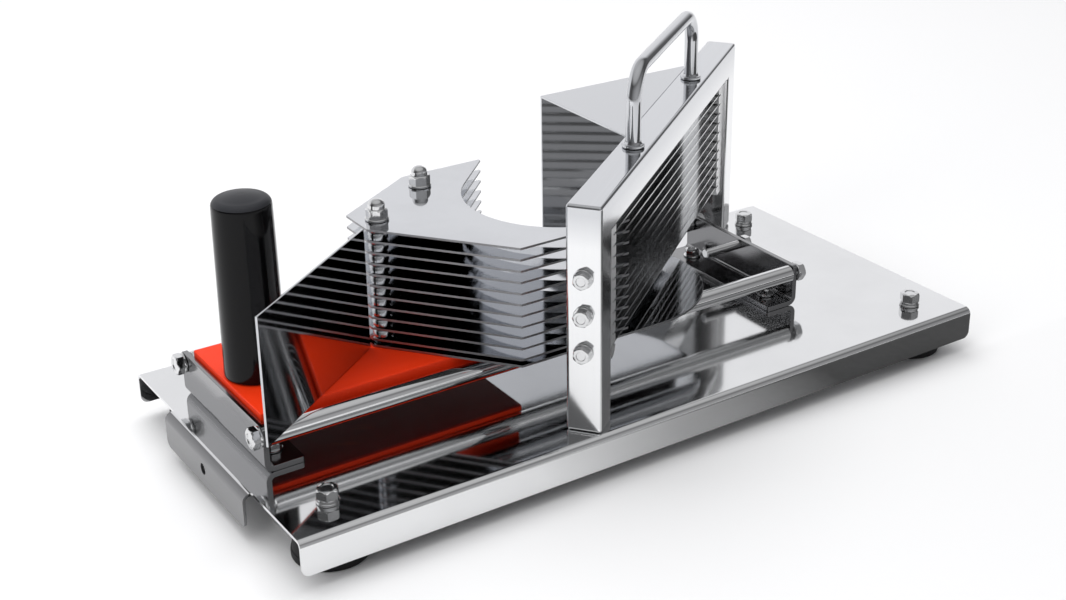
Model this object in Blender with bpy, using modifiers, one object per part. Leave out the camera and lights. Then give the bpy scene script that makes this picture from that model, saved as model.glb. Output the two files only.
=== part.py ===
"""Manual vegetable slicer: a hand pushed carriage slides on two rods and drives its fins between blades.

Metres, +Z up. X runs along the slide, the blades are at +X. The origin is under the middle of the
machine, on the surface that its rubber feet stand on.
"""

import math

import bmesh
import bpy
from mathutils import Matrix, Vector

GAP = 0.0003

# Base sheet. Local z = 0 is its top face.
BASE_LENGTH = 0.430
BASE_WIDTH = 0.201
SHEET = 0.0015
FLANGE_DEPTH = 0.0184
BEND = 0.004
TAB_WIDTH = 0.097
TAB_REACH = 0.005
TAB_HOLE = 0.006
TAB_HOLE_DROP = 0.009

# Rubber feet and their bolts.
FOOT_X = 0.189
FOOT_Y = 0.076
FOOT_TOP_RADIUS = 0.0165
FOOT_BOTTOM_RADIUS = 0.019
FOOT_UNDERSIDE = -0.0265
FOOT_RECESS_RADIUS = 0.009
FOOT_RECESS = 0.009
FOOT_BOLT_SHANK = 0.016
FOOT_BOLT_HEAD = 0.005
FOOT_WASHER = 0.0115
FOOT_WASHER_STACK = 0.0028
M6 = 0.006
M6_HOLE = 0.0066
M6_FLATS = 0.010
M6_HEAD = 0.004
M6_WASHER = 0.0125
WASHER_THICKNESS = 0.0012
M5 = 0.005
M5_HOLE = 0.0056
M5_FLATS = 0.008
M5_HEAD = 0.0035
M5_WASHER = 0.010
M5_NUT = 0.004

# Rail brackets and guide rods. The slide runs a little behind the base's middle line.
SLIDE_Y = 0.0132
BRACKET_SHEET = 0.003
BRACKET_WIDTH = 0.100
BRACKET_HEIGHT = 0.025
BRACKET_FOOT = 0.021
BRACKET_BEND = 0.0050
BRACKET_CORNER = 0.0015
LEFT_BRACKET_X = -0.2025
RIGHT_BRACKET_X = 0.1346
BRACKET_BOLT_INSET = 0.0105
BRACKET_BOLT_Y = 0.035
ROD_RADIUS = 0.005
ROD_Y = 0.0469
ROD_Z = 0.0195
STOP_Z = 0.0215
STOP_LENGTH = 0.0255

# Slide board.
BOARD_LEFT = -0.1990
BOARD_RIGHT = -0.0535
BOARD_TOP = 0.028
BOARD_BOTTOM = 0.011
BOARD_LIP = 0.0032
GROOVE_RADIUS = 0.0054

# Fins, spacers and studs. One slice is one pitch thick.
PITCH = 0.0061
FIN_COUNT = 11
FIN_SHEET = 0.0012
FIN_HALF_WIDTH = 0.060
PLATE_TOP = BOARD_TOP + GAP + FIN_SHEET
NOSE_X = 0.017
FIN_BACK_X = -0.121
FIN_BACK_NEAR_Y = 0.0045
FIN_BACK_FAR_Y = 0.027
FIN_SHOULDER_X = -0.0704
THROAT_X = -0.010
THROAT_Y = -0.005
THROAT_RADIUS = 0.053
THROAT_START = math.radians(136)
NEAR_TIP_X = -0.004
STUDS = ((-0.1104, 0.0134), (-0.0689, 0.0429))
SPACER_RADIUS = 0.0052
SLEEVE_RADIUS = 0.0039
STUD_HEAD_POCKET = 0.007
STUD_POCKET = 0.014
HANDLE_POCKET = 0.018
ACORN_HEX = 0.005
ACORN_HEIGHT = 0.0105

# Hand guard and push handle.
GUARD_NEAR = (-0.2094, -0.0602)
GUARD_FAR = (-0.1228, 0.0040)
GUARD_TOP = 0.095
GUARD_FOOT_START = 0.060
GUARD_FOOT_WIDTH = 0.014
HANDLE_X = -0.1825
HANDLE_HEIGHT = 0.096
HANDLE_FOOT_RADIUS = 0.0160
HANDLE_TOP_RADIUS = 0.0148
HANDLE_BORE = 0.0043
HANDLE_BORE_DEPTH = 0.032
M8 = 0.008
M8_HOLE = 0.0092
M8_FLATS = 0.013
M8_HEAD = 0.0053
M8_WASHER = 0.0165

# Blade frame. It has its own axes: x along the blades, y towards the push handle.
FRAME_X = 0.0615
FRAME_TURN = math.radians(38.1)
FRAME_LENGTH = 0.294
FRAME_DEPTH = 0.0185
FRAME_TOP = 0.1227
POST_WIDTH = 0.0175
BAR_HEIGHT = 0.0187
FRAME_WALL = 0.0015
BOLT_HEIGHTS = (0.045, 0.065, 0.085)
HOLDER_THICKNESS = 0.008
HOLDER_WIDTH = 0.013
BOLT_GRIP = 0.0028
NEAR_HOLDER = -0.117
FAR_HOLDER_FACE = 0.116
FAR_HOLDER_BACK = 0.1292
HOLDER_BOTTOM = 0.0295
HOLDER_TOP = 0.1010
BLADE_WIDTH = 0.012
BLADE_SHEET = 0.0006
SLOT_DEPTH = 0.0045

# Carrying handle on the frame and the guard behind the blades.
GRIP_RADIUS = 0.004
GRIP_HALF_SPAN = 0.0625
GRIP_SHIFT = 0.0029
GRIP_TOP = 0.163
GRIP_BEND = 0.017
REAR_GUARD_X = 0.022
REAR_GUARD_Y = 0.0627
REAR_GUARD_SHEET = 0.0012
REAR_GUARD_BOTTOM = 0.026


def clear_scene():
    for item in list(bpy.data.objects):
        bpy.data.objects.remove(item, do_unlink=True)


def make_collection(name):
    group = bpy.data.collections.new(name)
    bpy.context.scene.collection.children.link(group)
    return group


def make_empty(name, location, parent=None, turn=0.0):
    empty = bpy.data.objects.new(name, None)
    empty.location = location
    empty.rotation_euler = (0.0, 0.0, turn)
    empty.parent = parent
    PARTS.objects.link(empty)
    return empty


def material(name, colour, metallic, roughness):
    found = bpy.data.materials.get(name)
    if found:
        return found
    made = bpy.data.materials.new(name)
    made.use_nodes = True
    shader = made.node_tree.nodes["Principled BSDF"]
    shader.inputs["Base Color"].default_value = (*colour, 1.0)
    shader.inputs["Metallic"].default_value = metallic
    shader.inputs["Roughness"].default_value = roughness
    return made


def mirror_steel(name):
    return material(name, (0.80, 0.81, 0.82), 1.0, 0.10)


def brushed_steel(name):
    return material(name, (0.62, 0.62, 0.63), 1.0, 0.32)


def add_object(name, data, finish, parent, location=(0, 0, 0), rotation=(0, 0, 0)):
    data.materials.append(finish)
    item = bpy.data.objects.new(name, data)
    item.parent = parent
    item.location = location
    item.rotation_euler = rotation
    PARTS.objects.link(item)
    return item


def mesh_from(bm, name):
    mesh = bpy.data.meshes.new(name)
    bm.normal_update()
    bm.to_mesh(mesh)
    bm.free()
    return mesh


def add_copies(name, bm, finish, parent, places, rotation=(0, 0, 0)):
    """One object for each place, numbered from 1, all with the same mesh."""
    mesh = mesh_from(bm, name)
    for number, place in enumerate(places, start=1):
        add_object(f"{name}_{number}", mesh, finish, parent, place, rotation)


def add_solidify(item, thickness):
    shell = item.modifiers.new("Sheet", "SOLIDIFY")
    shell.thickness = thickness
    shell.offset = -1.0
    shell.solidify_mode = "NON_MANIFOLD"
    shell.nonmanifold_thickness_mode = "EVEN"


def cut(item, cutter):
    boolean = item.modifiers.new("Cut", "BOOLEAN")
    boolean.operation = "DIFFERENCE"
    boolean.solver = "EXACT"
    boolean.object = cutter


def add_cutter(name, mesh, parent, location=(0, 0, 0), rotation=(0, 0, 0)):
    cutter = bpy.data.objects.new(name, mesh)
    cutter.parent = parent
    cutter.location = location
    cutter.rotation_euler = rotation
    cutter.hide_render = True
    cutter.display_type = "WIRE"
    CUTTERS.objects.link(cutter)
    return cutter


def drill_mesh(name, holes, segments=16):
    """One closed cylinder for each (centre, diameter, length, axis) in holes."""
    bm = bmesh.new()
    turns = {
        "X": Matrix.Rotation(math.pi / 2, 4, "Y"),
        "Y": Matrix.Rotation(math.pi / 2, 4, "X"),
        "Z": Matrix.Identity(4),
    }
    for centre, diameter, length, axis in holes:
        bmesh.ops.create_cone(
            bm, cap_ends=True, segments=segments, radius1=diameter / 2, radius2=diameter / 2,
            depth=length, matrix=Matrix.Translation(centre) @ turns[axis],
        )
    return mesh_from(bm, name)


def box_mesh(name, size, centre=(0, 0, 0)):
    bm = bmesh.new()
    shape = Matrix.Translation(centre) @ Matrix.Diagonal((*size, 1.0))
    bmesh.ops.create_cube(bm, size=1.0, matrix=shape)
    return mesh_from(bm, name)


def ring_points(shape, size, height, segments):
    """Points of a round ring of diameter size, or of a hexagon of width size across its flats."""
    points = []
    for step in range(segments):
        angle = 2 * math.pi * step / segments
        radius = size / 2
        if shape == "hex":
            radius /= math.cos((angle % (math.pi / 3)) - math.pi / 6)
        points.append(Vector((radius * math.cos(angle), radius * math.sin(angle), height)))
    return points


def loft(bm, rings, matrix, closed=False, segments=12):
    """Joins rings of (shape, size, height) into one body; closed joins the last ring to the first."""
    loops = []
    for shape, size, height in rings:
        points = ring_points(shape, size, height, segments)
        loops.append([bm.verts.new(matrix @ point) for point in points])
    pairs = list(zip(loops, loops[1:]))
    if closed:
        pairs.append((loops[-1], loops[0]))
    faces = []
    for low, high in pairs:
        for step in range(segments):
            following = (step + 1) % segments
            faces.append(bm.faces.new((low[step], low[following], high[following], high[step])))
    if not closed:
        faces.append(bm.faces.new(list(reversed(loops[0]))))
        faces.append(bm.faces.new(loops[-1]))
    bmesh.ops.recalc_face_normals(bm, faces=faces)


def bolt(bm, matrix, diameter, flats, head, shank, disc, stack=WASHER_THICKNESS):
    """A hexagon bolt and its washers in one: the washers stand on z = 0 and the shank runs down."""
    rings = (
        ("round", diameter * 0.8, -shank),
        ("round", diameter, -shank + 0.001),
        ("round", diameter, 0.0),
        ("round", disc, 0.0),
        ("round", disc, stack),
        ("hex", flats, stack),
        ("hex", flats, stack + head - 0.0005),
        ("round", flats * 0.94, stack + head),
    )
    loft(bm, rings, matrix)


def nut(bm, matrix, hole, flats, height):
    """A hexagon nut that stands on z = 0."""
    rings = (
        ("round", hole, 0.0),
        ("hex", flats, 0.0),
        ("hex", flats, height),
        ("round", hole, height),
    )
    loft(bm, rings, matrix, closed=True)


def at(x=0.0, y=0.0, z=0.0):
    return Matrix.Translation((x, y, z))


def pointing(direction):
    """Turns +Z to point along X or -X."""
    return Matrix.Rotation(direction * math.pi / 2, 4, "Y")


def arc(centre, radius, start, end, steps):
    points = []
    for step in range(steps + 1):
        angle = start + (end - start) * step / steps
        points.append((centre[0] + radius * math.cos(angle), centre[1] + radius * math.sin(angle)))
    return points


def circle(centre, diameter, steps=12):
    return arc(centre, diameter / 2, 0.0, 2 * math.pi * (steps - 1) / steps, steps - 1)


def flat_plate(name, outlines, thickness, finish, parent, height):
    """A flat sheet cut to closed outlines; the first is the edge and the others are holes."""
    curve = bpy.data.curves.new(name, "CURVE")
    curve.dimensions = "2D"
    curve.fill_mode = "BOTH"
    curve.extrude = thickness / 2
    for outline in outlines:
        spline = curve.splines.new("POLY")
        spline.points.add(len(outline) - 1)
        spline.use_cyclic_u = True
        for point, (x, y) in zip(spline.points, outline):
            point.co = (x, y, 0.0, 1.0)
    return add_object(name, curve, finish, parent, location=(0, 0, height))


def folded_sheet(bm, folds, corners, bend, corner_radius):
    """Rounds the free corners and then the folds of an open sheet, and turns its faces one way."""
    bmesh.ops.recalc_face_normals(bm, faces=bm.faces)
    fold_ends = [Vector(point) for point in corners]
    free = [vert for vert in bm.verts if any((vert.co - end).length < 1e-6 for end in fold_ends)]
    bmesh.ops.bevel(
        bm, geom=free, offset=corner_radius, segments=3, profile=0.5, affect="VERTICES",
    )
    lines = []
    for start, end in folds:
        start = Vector(start)
        along = (Vector(end) - start).normalized()
        for edge in bm.edges:
            offsets = [(vert.co - start) for vert in edge.verts]
            if all((offset - along * offset.dot(along)).length < 1e-6 for offset in offsets):
                lines.append(edge)
    bmesh.ops.bevel(
        bm, geom=lines, offset=bend, segments=3, profile=0.5, affect="EDGES",
    )


def face_up(bm, point, normal):
    """Flips the whole sheet if the face nearest to point doesn't face along normal."""
    bm.normal_update()
    nearest = min(bm.faces, key=lambda face: (face.calc_center_median() - Vector(point)).length)
    if nearest.normal.dot(Vector(normal)) < 0:
        bmesh.ops.reverse_faces(bm, faces=bm.faces)


def extrude_edge(bm, start, end, shift):
    """Continues the sheet from the edge between two points."""
    start = Vector(start)
    end = Vector(end)
    wanted = None
    for edge in bm.edges:
        first, second = (vert.co for vert in edge.verts)
        straight = (first - start).length + (second - end).length
        crossed = (first - end).length + (second - start).length
        if min(straight, crossed) < 1e-6:
            wanted = edge
    made = bmesh.ops.extrude_edge_only(bm, edges=[wanted])
    moved = [item for item in made["geom"] if isinstance(item, bmesh.types.BMVert)]
    bmesh.ops.translate(bm, verts=moved, vec=shift)


def build_base():
    half_length = BASE_LENGTH / 2
    half_width = BASE_WIDTH / 2
    half_tab = TAB_WIDTH / 2
    bm = bmesh.new()
    outline = (
        (-half_length, -half_width), (half_length, -half_width), (half_length, half_width),
        (-half_length, half_width), (-half_length, half_tab), (-half_length, -half_tab),
    )
    bm.faces.new([bm.verts.new((x, y, 0.0)) for x, y in outline])
    for side in (-1, 1):
        ends = [(x * half_length, side * half_width, 0.0) for x in (-1, 1)]
        extrude_edge(bm, ends[0], ends[1], (0, 0, -FLANGE_DEPTH))
    tab_root = [(-half_length, side * half_tab, 0.0) for side in (-1, 1)]
    extrude_edge(bm, tab_root[0], tab_root[1], (-TAB_REACH, 0, 0))
    tab_x = -half_length - TAB_REACH
    tab_fold = [(tab_x, side * half_tab, 0.0) for side in (-1, 1)]
    extrude_edge(bm, tab_fold[0], tab_fold[1], (0, 0, -FLANGE_DEPTH))
    corners = [
        (x * half_length, y * half_width, -FLANGE_DEPTH) for x in (-1, 1) for y in (-1, 1)
    ]
    corners += [(tab_x, side * half_tab, -FLANGE_DEPTH) for side in (-1, 1)]
    folds = [
        ((-half_length, side * half_width, 0.0), (half_length, side * half_width, 0.0))
        for side in (-1, 1)
    ]
    folds.append((tab_fold[0], tab_fold[1]))
    folded_sheet(bm, folds, corners, BEND, 0.004)
    face_up(bm, (0, 0, 0), (0, 0, 1))
    base = add_object("base_plate", mesh_from(bm, "base_plate"), mirror_steel("base_mirror"), ROOT)
    add_solidify(base, SHEET)
    holes = [((x * FOOT_X, y * FOOT_Y, 0), M6_HOLE, 0.02, "Z") for x in (-1, 1) for y in (-1, 1)]
    for x in bracket_bolt_xs():
        for side in (-1, 1):
            holes.append(((x, SLIDE_Y + side * BRACKET_BOLT_Y, 0), M5_HOLE, 0.02, "Z"))
    holes.append(((tab_x, 0, -TAB_HOLE_DROP), TAB_HOLE, 0.008, "X"))
    cut(base, add_cutter("base_holes", drill_mesh("base_holes", holes, 12), ROOT))


def bracket_bolt_xs():
    return (LEFT_BRACKET_X + BRACKET_BOLT_INSET, RIGHT_BRACKET_X - BRACKET_BOLT_INSET)


def foot_profile():
    """Half section of a foot, down its outer side and back up its bore."""
    top = -SHEET - GAP
    bottom = FOOT_UNDERSIDE
    bore = M6_HOLE / 2
    return (
        (bore, top), (FOOT_TOP_RADIUS - 0.002, top), (FOOT_TOP_RADIUS, top - 0.002),
        (FOOT_BOTTOM_RADIUS, bottom + 0.004), (FOOT_BOTTOM_RADIUS, bottom + 0.001),
        (FOOT_BOTTOM_RADIUS - 0.001, bottom), (FOOT_RECESS_RADIUS, bottom),
        (FOOT_RECESS_RADIUS, bottom + FOOT_RECESS), (bore, bottom + FOOT_RECESS),
    )


def turned(name, profile, finish, parent, location, steps, closed):
    """A body of revolution about its own Z from a profile of (radius, height) points."""
    bm = bmesh.new()
    verts = [bm.verts.new((radius, 0.0, height)) for radius, height in profile]
    for first, second in zip(verts, verts[1:]):
        bm.edges.new((first, second))
    if closed:
        bm.edges.new((verts[-1], verts[0]))
    item = add_object(name, mesh_from(bm, name), finish, parent, location)
    screw = item.modifiers.new("Turn", "SCREW")
    screw.axis = "Z"
    screw.angle = 2 * math.pi
    screw.steps = steps
    screw.render_steps = steps
    screw.use_merge_vertices = True
    screw.merge_threshold = 0.00005
    return item


def foot_places(height):
    return [(x * FOOT_X, y * FOOT_Y, height) for x in (-1, 1) for y in (-1, 1)]


def build_feet():
    rubber = material("foot_rubber", (0.012, 0.012, 0.013), 0.0, 0.55)
    for number, place in enumerate(foot_places(0.0), start=1):
        turned(f"rubber_foot_{number}", foot_profile(), rubber, ROOT, place, 20, True)
    bm = bmesh.new()
    bolt(
        bm, Matrix.Identity(4), M6, M6_FLATS, FOOT_BOLT_HEAD, FOOT_BOLT_SHANK, FOOT_WASHER,
        FOOT_WASHER_STACK,
    )
    add_copies("foot_bolt", bm, mirror_steel("fastener_steel"), ROOT, foot_places(GAP))


def build_bracket(name, face_x, inward, extra_holes):
    """An angle bracket: an upright plate whose foot turns in under the rods."""
    half = BRACKET_WIDTH / 2
    bm = bmesh.new()
    upright = ((-half, GAP), (half, GAP), (half, BRACKET_HEIGHT), (-half, BRACKET_HEIGHT))
    bm.faces.new([bm.verts.new((0.0, y, z)) for y, z in upright])
    extrude_edge(bm, (0, -half, GAP), (0, half, GAP), (inward * BRACKET_FOOT, 0, 0))
    corners = [(0, side * half, BRACKET_HEIGHT) for side in (-1, 1)]
    corners += [(inward * BRACKET_FOOT, side * half, GAP) for side in (-1, 1)]
    folded_sheet(bm, [((0, -half, GAP), (0, half, GAP))], corners, BRACKET_BEND, BRACKET_CORNER)
    face_up(bm, (0, 0, BRACKET_HEIGHT), (-inward, 0, 0))
    place = (face_x, SLIDE_Y, 0.0)
    mesh = mesh_from(bm, name)
    bracket = add_object(name, mesh, brushed_steel("bracket_steel"), ROOT, place)
    add_solidify(bracket, BRACKET_SHEET)
    holes = [((0, side * ROD_Y, ROD_Z), M6_HOLE, 0.012, "X") for side in (-1, 1)]
    for side in (-1, 1):
        centre = (inward * BRACKET_BOLT_INSET, side * BRACKET_BOLT_Y, 0.0)
        holes.append((centre, M5_HOLE, 0.012, "Z"))
    holes += extra_holes
    cutter = add_cutter(f"{name}_holes", drill_mesh(f"{name}_holes", holes, 12), ROOT, place)
    cut(bracket, cutter)


def build_brackets():
    build_bracket("left_rail_bracket", LEFT_BRACKET_X, 1, [])
    stop_hole = ((0, 0, STOP_Z), M5_HOLE, 0.012, "X")
    build_bracket("right_rail_bracket", RIGHT_BRACKET_X, -1, [stop_hole])


def build_rods():
    inner_left = LEFT_BRACKET_X + BRACKET_SHEET + GAP
    inner_right = RIGHT_BRACKET_X - BRACKET_SHEET - GAP
    length = inner_right - inner_left
    middle = (inner_right + inner_left) / 2
    steel = mirror_steel("rod_steel")
    for name, side in (("near_guide_rod", -1), ("far_guide_rod", 1)):
        bm = bmesh.new()
        bmesh.ops.create_cone(
            bm, cap_ends=True, segments=24, radius1=ROD_RADIUS, radius2=ROD_RADIUS,
            depth=length, matrix=pointing(1),
        )
        place = (middle, SLIDE_Y + side * ROD_Y, ROD_Z)
        rod = add_object(name, mesh_from(bm, name), steel, ROOT, place)
        holes = [((end * length / 2, 0, 0), M6_HOLE, 0.028, "X") for end in (-1, 1)]
        cut(rod, add_cutter(f"{name}_threads", drill_mesh(f"{name}_threads", holes, 12), ROOT, place))


def build_rod_bolts():
    steel = mirror_steel("fastener_steel")
    for end, face_x in (("left", LEFT_BRACKET_X - GAP), ("right", RIGHT_BRACKET_X + GAP)):
        bm = bmesh.new()
        outward = pointing(-1 if end == "left" else 1)
        bolt(bm, outward, M6, M6_FLATS, M6_HEAD, 0.013, 0.0105)
        places = [(face_x, SLIDE_Y + side * ROD_Y, ROD_Z) for side in (-1, 1)]
        add_copies(f"{end}_rod_bolt", bm, steel, ROOT, places)


def build_stop():
    """The pin that ends the slide's travel, and the nut that holds it to the right bracket."""
    steel = mirror_steel("fastener_steel")
    face = RIGHT_BRACKET_X - BRACKET_SHEET - GAP
    pin = bmesh.new()
    rings = (
        ("round", 0.0045, -STOP_LENGTH), ("round", 0.0055, -STOP_LENGTH + 0.0005),
        ("round", 0.0055, -GAP), ("round", M5, -GAP), ("round", M5, 0.009),
    )
    loft(pin, rings, pointing(1))
    add_object("stop_pin", mesh_from(pin, "stop_pin"), steel, ROOT, (face, SLIDE_Y, STOP_Z))
    holder = bmesh.new()
    nut(holder, pointing(1), M5_HOLE, M5_FLATS, M5_NUT)
    place = (RIGHT_BRACKET_X + GAP, SLIDE_Y, STOP_Z)
    add_object("stop_nut", mesh_from(holder, "stop_nut"), steel, ROOT, place)


def board_section():
    """Half of the board's end outline, from the top edge down round the rod to the underside."""
    side = ROD_Y - GROOVE_RADIUS
    lip_angle = math.acos((ROD_Y - side - BOARD_LIP) / GROOVE_RADIUS)
    curve = arc((ROD_Y, ROD_Z), GROOVE_RADIUS, math.pi, math.pi + lip_angle, 5)
    return [(side, BOARD_TOP)] + curve + [(side + BOARD_LIP, BOARD_BOTTOM)]


def build_board():
    half = board_section()
    outline = half + [(-y, z) for y, z in reversed(half)]
    bm = bmesh.new()
    face = bm.faces.new([bm.verts.new((0.0, y, z)) for y, z in outline])
    made = bmesh.ops.extrude_face_region(bm, geom=[face])
    moved = [item for item in made["geom"] if isinstance(item, bmesh.types.BMVert)]
    bmesh.ops.translate(bm, verts=moved, vec=(BOARD_RIGHT - BOARD_LEFT, 0, 0))
    bmesh.ops.recalc_face_normals(bm, faces=bm.faces)
    red = material("board_red", (0.72, 0.045, 0.012), 0.0, 0.42)
    place = (BOARD_LEFT, SLIDE_Y, 0.0)
    board = add_object("slide_board", mesh_from(bm, "slide_board"), red, CARRIAGE, place)
    bores = []
    for x, y in STUDS:
        bores.append(((x, y, BOARD_TOP), M6_HOLE, 0.05, "Z"))
    bores.append(((HANDLE_X, SLIDE_Y, BOARD_TOP), M8_HOLE, 0.05, "Z"))
    cut(board, add_cutter("board_bores", drill_mesh("board_bores", bores, 12), CARRIAGE))
    depth = 2 * STUD_HEAD_POCKET
    pockets = [((x, y, BOARD_BOTTOM), STUD_POCKET, depth, "Z") for x, y in STUDS]
    pockets.append(((HANDLE_X, SLIDE_Y, BOARD_BOTTOM), HANDLE_POCKET, depth, "Z"))
    cut(board, add_cutter("board_pockets", drill_mesh("board_pockets", pockets, 16), CARRIAGE))


def fin_outline():
    """A fin: pointed back, two prongs ahead and a round throat between them."""
    throat = arc((THROAT_X, THROAT_Y), THROAT_RADIUS, THROAT_START, 1.5 * math.pi, 18)
    first_x, first_y = throat[0]
    slope = math.tan(THROAT_START - math.pi / 2)
    far_tip_x = first_x + (FIN_HALF_WIDTH - first_y) / slope
    near_tip_y = THROAT_Y - THROAT_RADIUS
    points = [
        (FIN_BACK_X, FIN_BACK_NEAR_Y), (FIN_BACK_X, FIN_BACK_FAR_Y),
        (FIN_SHOULDER_X, FIN_HALF_WIDTH), (far_tip_x - 0.001, FIN_HALF_WIDTH),
        (far_tip_x - 0.0004, FIN_HALF_WIDTH - 0.0012),
    ]
    points += throat
    points += [
        (NEAR_TIP_X - 0.001, near_tip_y), (NEAR_TIP_X, near_tip_y - 0.0006),
        (NEAR_TIP_X - 0.0002, -FIN_HALF_WIDTH + 0.0004), (NEAR_TIP_X - 0.001, -FIN_HALF_WIDTH),
        (FIN_SHOULDER_X, -FIN_HALF_WIDTH),
    ]
    return points


def plate_outline():
    nose = arc((NOSE_X, 0.0), FIN_HALF_WIDTH, -math.pi / 2, math.pi / 2, 32)
    return nose + [
        (FIN_SHOULDER_X, FIN_HALF_WIDTH), (FIN_BACK_X, FIN_BACK_FAR_Y),
        (FIN_BACK_X, FIN_BACK_NEAR_Y), (FIN_SHOULDER_X, -FIN_HALF_WIDTH),
    ]


def stud_holes():
    return [circle(place, 2 * (SLEEVE_RADIUS + GAP)) for place in STUDS]


def build_fins():
    steel = mirror_steel("fin_mirror")
    plate_middle = PLATE_TOP - FIN_SHEET / 2
    flat_plate(
        "support_plate", [plate_outline()] + stud_holes(), FIN_SHEET, steel, CARRIAGE, plate_middle
    )
    outlines = [fin_outline()] + stud_holes()
    for number in range(FIN_COUNT):
        height = PLATE_TOP + PITCH * (number + 0.5)
        flat_plate(f"pusher_fin_{number + 1:02d}", outlines, FIN_SHEET, steel, CARRIAGE, height)


def spacer_profile():
    """Half section of one stud's spacers, joined by the thin sleeve that passes through the fins."""
    top = PLATE_TOP + PITCH * (FIN_COUNT - 0.5) + FIN_SHEET / 2
    inner = M6_HOLE / 2
    profile = [(inner, top), (SLEEVE_RADIUS, top)]
    for number in reversed(range(FIN_COUNT)):
        underside = PLATE_TOP + PITCH * (number + 0.5) - FIN_SHEET / 2 - GAP
        lower = PLATE_TOP + PITCH * (number - 0.5) + FIN_SHEET / 2 + GAP
        if number == 0:
            lower = PLATE_TOP + GAP
        profile += [(SLEEVE_RADIUS, underside), (SPACER_RADIUS, underside)]
        profile += [(SPACER_RADIUS, lower), (SLEEVE_RADIUS, lower)]
    profile[-1] = (inner, PLATE_TOP + GAP)
    return profile


def build_spacers():
    steel = brushed_steel("spacer_steel")
    for number, (x, y) in enumerate(STUDS, start=1):
        turned(f"fin_spacers_{number}", spacer_profile(), steel, CARRIAGE, (x, y, 0.0), 12, True)


def build_studs():
    steel = mirror_steel("fastener_steel")
    stack_top = PLATE_TOP + PITCH * (FIN_COUNT - 0.5) + FIN_SHEET / 2
    seat = BOARD_BOTTOM + STUD_HEAD_POCKET - GAP
    tip = stack_top + WASHER_THICKNESS + 0.0065
    bm = bmesh.new()
    upside_down = Matrix.Rotation(math.pi, 4, "X")
    bolt(bm, upside_down, M6, M6_FLATS, M6_HEAD, tip - seat, M6_WASHER)
    add_copies("stack_stud", bm, steel, CARRIAGE, [(x, y, seat) for x, y in STUDS])
    bm = bmesh.new()
    hex_top = WASHER_THICKNESS + ACORN_HEX
    rings = (
        ("round", M6_HOLE * 0.5, 0.0084), ("round", M6_HOLE, 0.0082), ("round", M6_HOLE, 0.0),
        ("round", M6_WASHER, 0.0), ("round", M6_WASHER, WASHER_THICKNESS),
        ("hex", M6_FLATS, WASHER_THICKNESS), ("hex", M6_FLATS, hex_top),
        ("round", 0.0088, hex_top), ("round", 0.0088, hex_top + 0.0022),
        ("round", 0.0072, hex_top + 0.0040), ("round", 0.0034, hex_top + 0.0050),
    )
    loft(bm, rings, Matrix.Identity(4))
    nut_z = stack_top + GAP
    add_copies("acorn_nut", bm, steel, CARRIAGE, [(x, y, nut_z) for x, y in STUDS])


def guard_axes():
    """Near end, direction along the guard and direction towards the push handle."""
    near = Vector((*GUARD_NEAR, 0.0))
    along = (Vector((*GUARD_FAR, 0.0)) - near).normalized()
    handward = Vector((-along.y, along.x, 0.0))
    return near, along, handward


def build_hand_guard():
    near, along, handward = guard_axes()
    length = (Vector((*GUARD_FAR, 0.0)) - near).length
    bottom = BOARD_TOP + GAP
    bm = bmesh.new()
    spans = (0.0, GUARD_FOOT_START, length - 0.002, length)
    low = [bm.verts.new((distance, 0.0, bottom)) for distance in spans]
    high = [bm.verts.new((distance, 0.0, GUARD_TOP)) for distance in spans]
    for step in range(3):
        bm.faces.new((low[step], low[step + 1], high[step + 1], high[step]))
    foot = ((GUARD_FOOT_START, 0, bottom), (length - 0.002, 0, bottom))
    extrude_edge(bm, foot[0], foot[1], (0, GUARD_FOOT_WIDTH, 0))
    face_up(bm, (0, 0, GUARD_TOP), (0, -1, 0))
    bmesh.ops.recalc_face_normals(bm, faces=bm.faces)
    face_up(bm, (0, 0, GUARD_TOP), (0, -1, 0))
    turn = (0, 0, math.atan2(along.y, along.x))
    steel = mirror_steel("guard_mirror")
    guard = add_object("hand_guard", mesh_from(bm, "hand_guard"), steel, CARRIAGE, near, turn)
    add_solidify(guard, FIN_SHEET)


def handle_profile():
    """Half section of the grip, from the bore's end, round the foot and up its outer side."""
    dome = arc((HANDLE_TOP_RADIUS - 0.004, HANDLE_HEIGHT - 0.0052), 0.004, 0.0, math.pi / 2, 4)
    outside = [(0.0, HANDLE_HEIGHT)] + list(reversed(dome))
    outside += [
        (HANDLE_FOOT_RADIUS, 0.003), (HANDLE_FOOT_RADIUS - 0.0008, 0.0),
        (HANDLE_BORE, 0.0), (HANDLE_BORE, HANDLE_BORE_DEPTH), (0.0, HANDLE_BORE_DEPTH + 0.001),
    ]
    return outside


def build_push_handle():
    black = material("handle_black", (0.008, 0.008, 0.009), 0.0, 0.16)
    place = (HANDLE_X, SLIDE_Y, BOARD_TOP + GAP)
    turned("push_handle", handle_profile(), black, CARRIAGE, place, 32, False)
    bm = bmesh.new()
    shank = BOARD_TOP - BOARD_BOTTOM + 0.020
    bolt(bm, Matrix.Rotation(math.pi, 4, "X"), M8, M8_FLATS, M8_HEAD, shank, M8_WASHER)
    seat = (HANDLE_X, SLIDE_Y, BOARD_BOTTOM + STUD_HEAD_POCKET - GAP)
    finish = mirror_steel("fastener_steel")
    add_object("handle_bolt", mesh_from(bm, "handle_bolt"), finish, CARRIAGE, seat)


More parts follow.
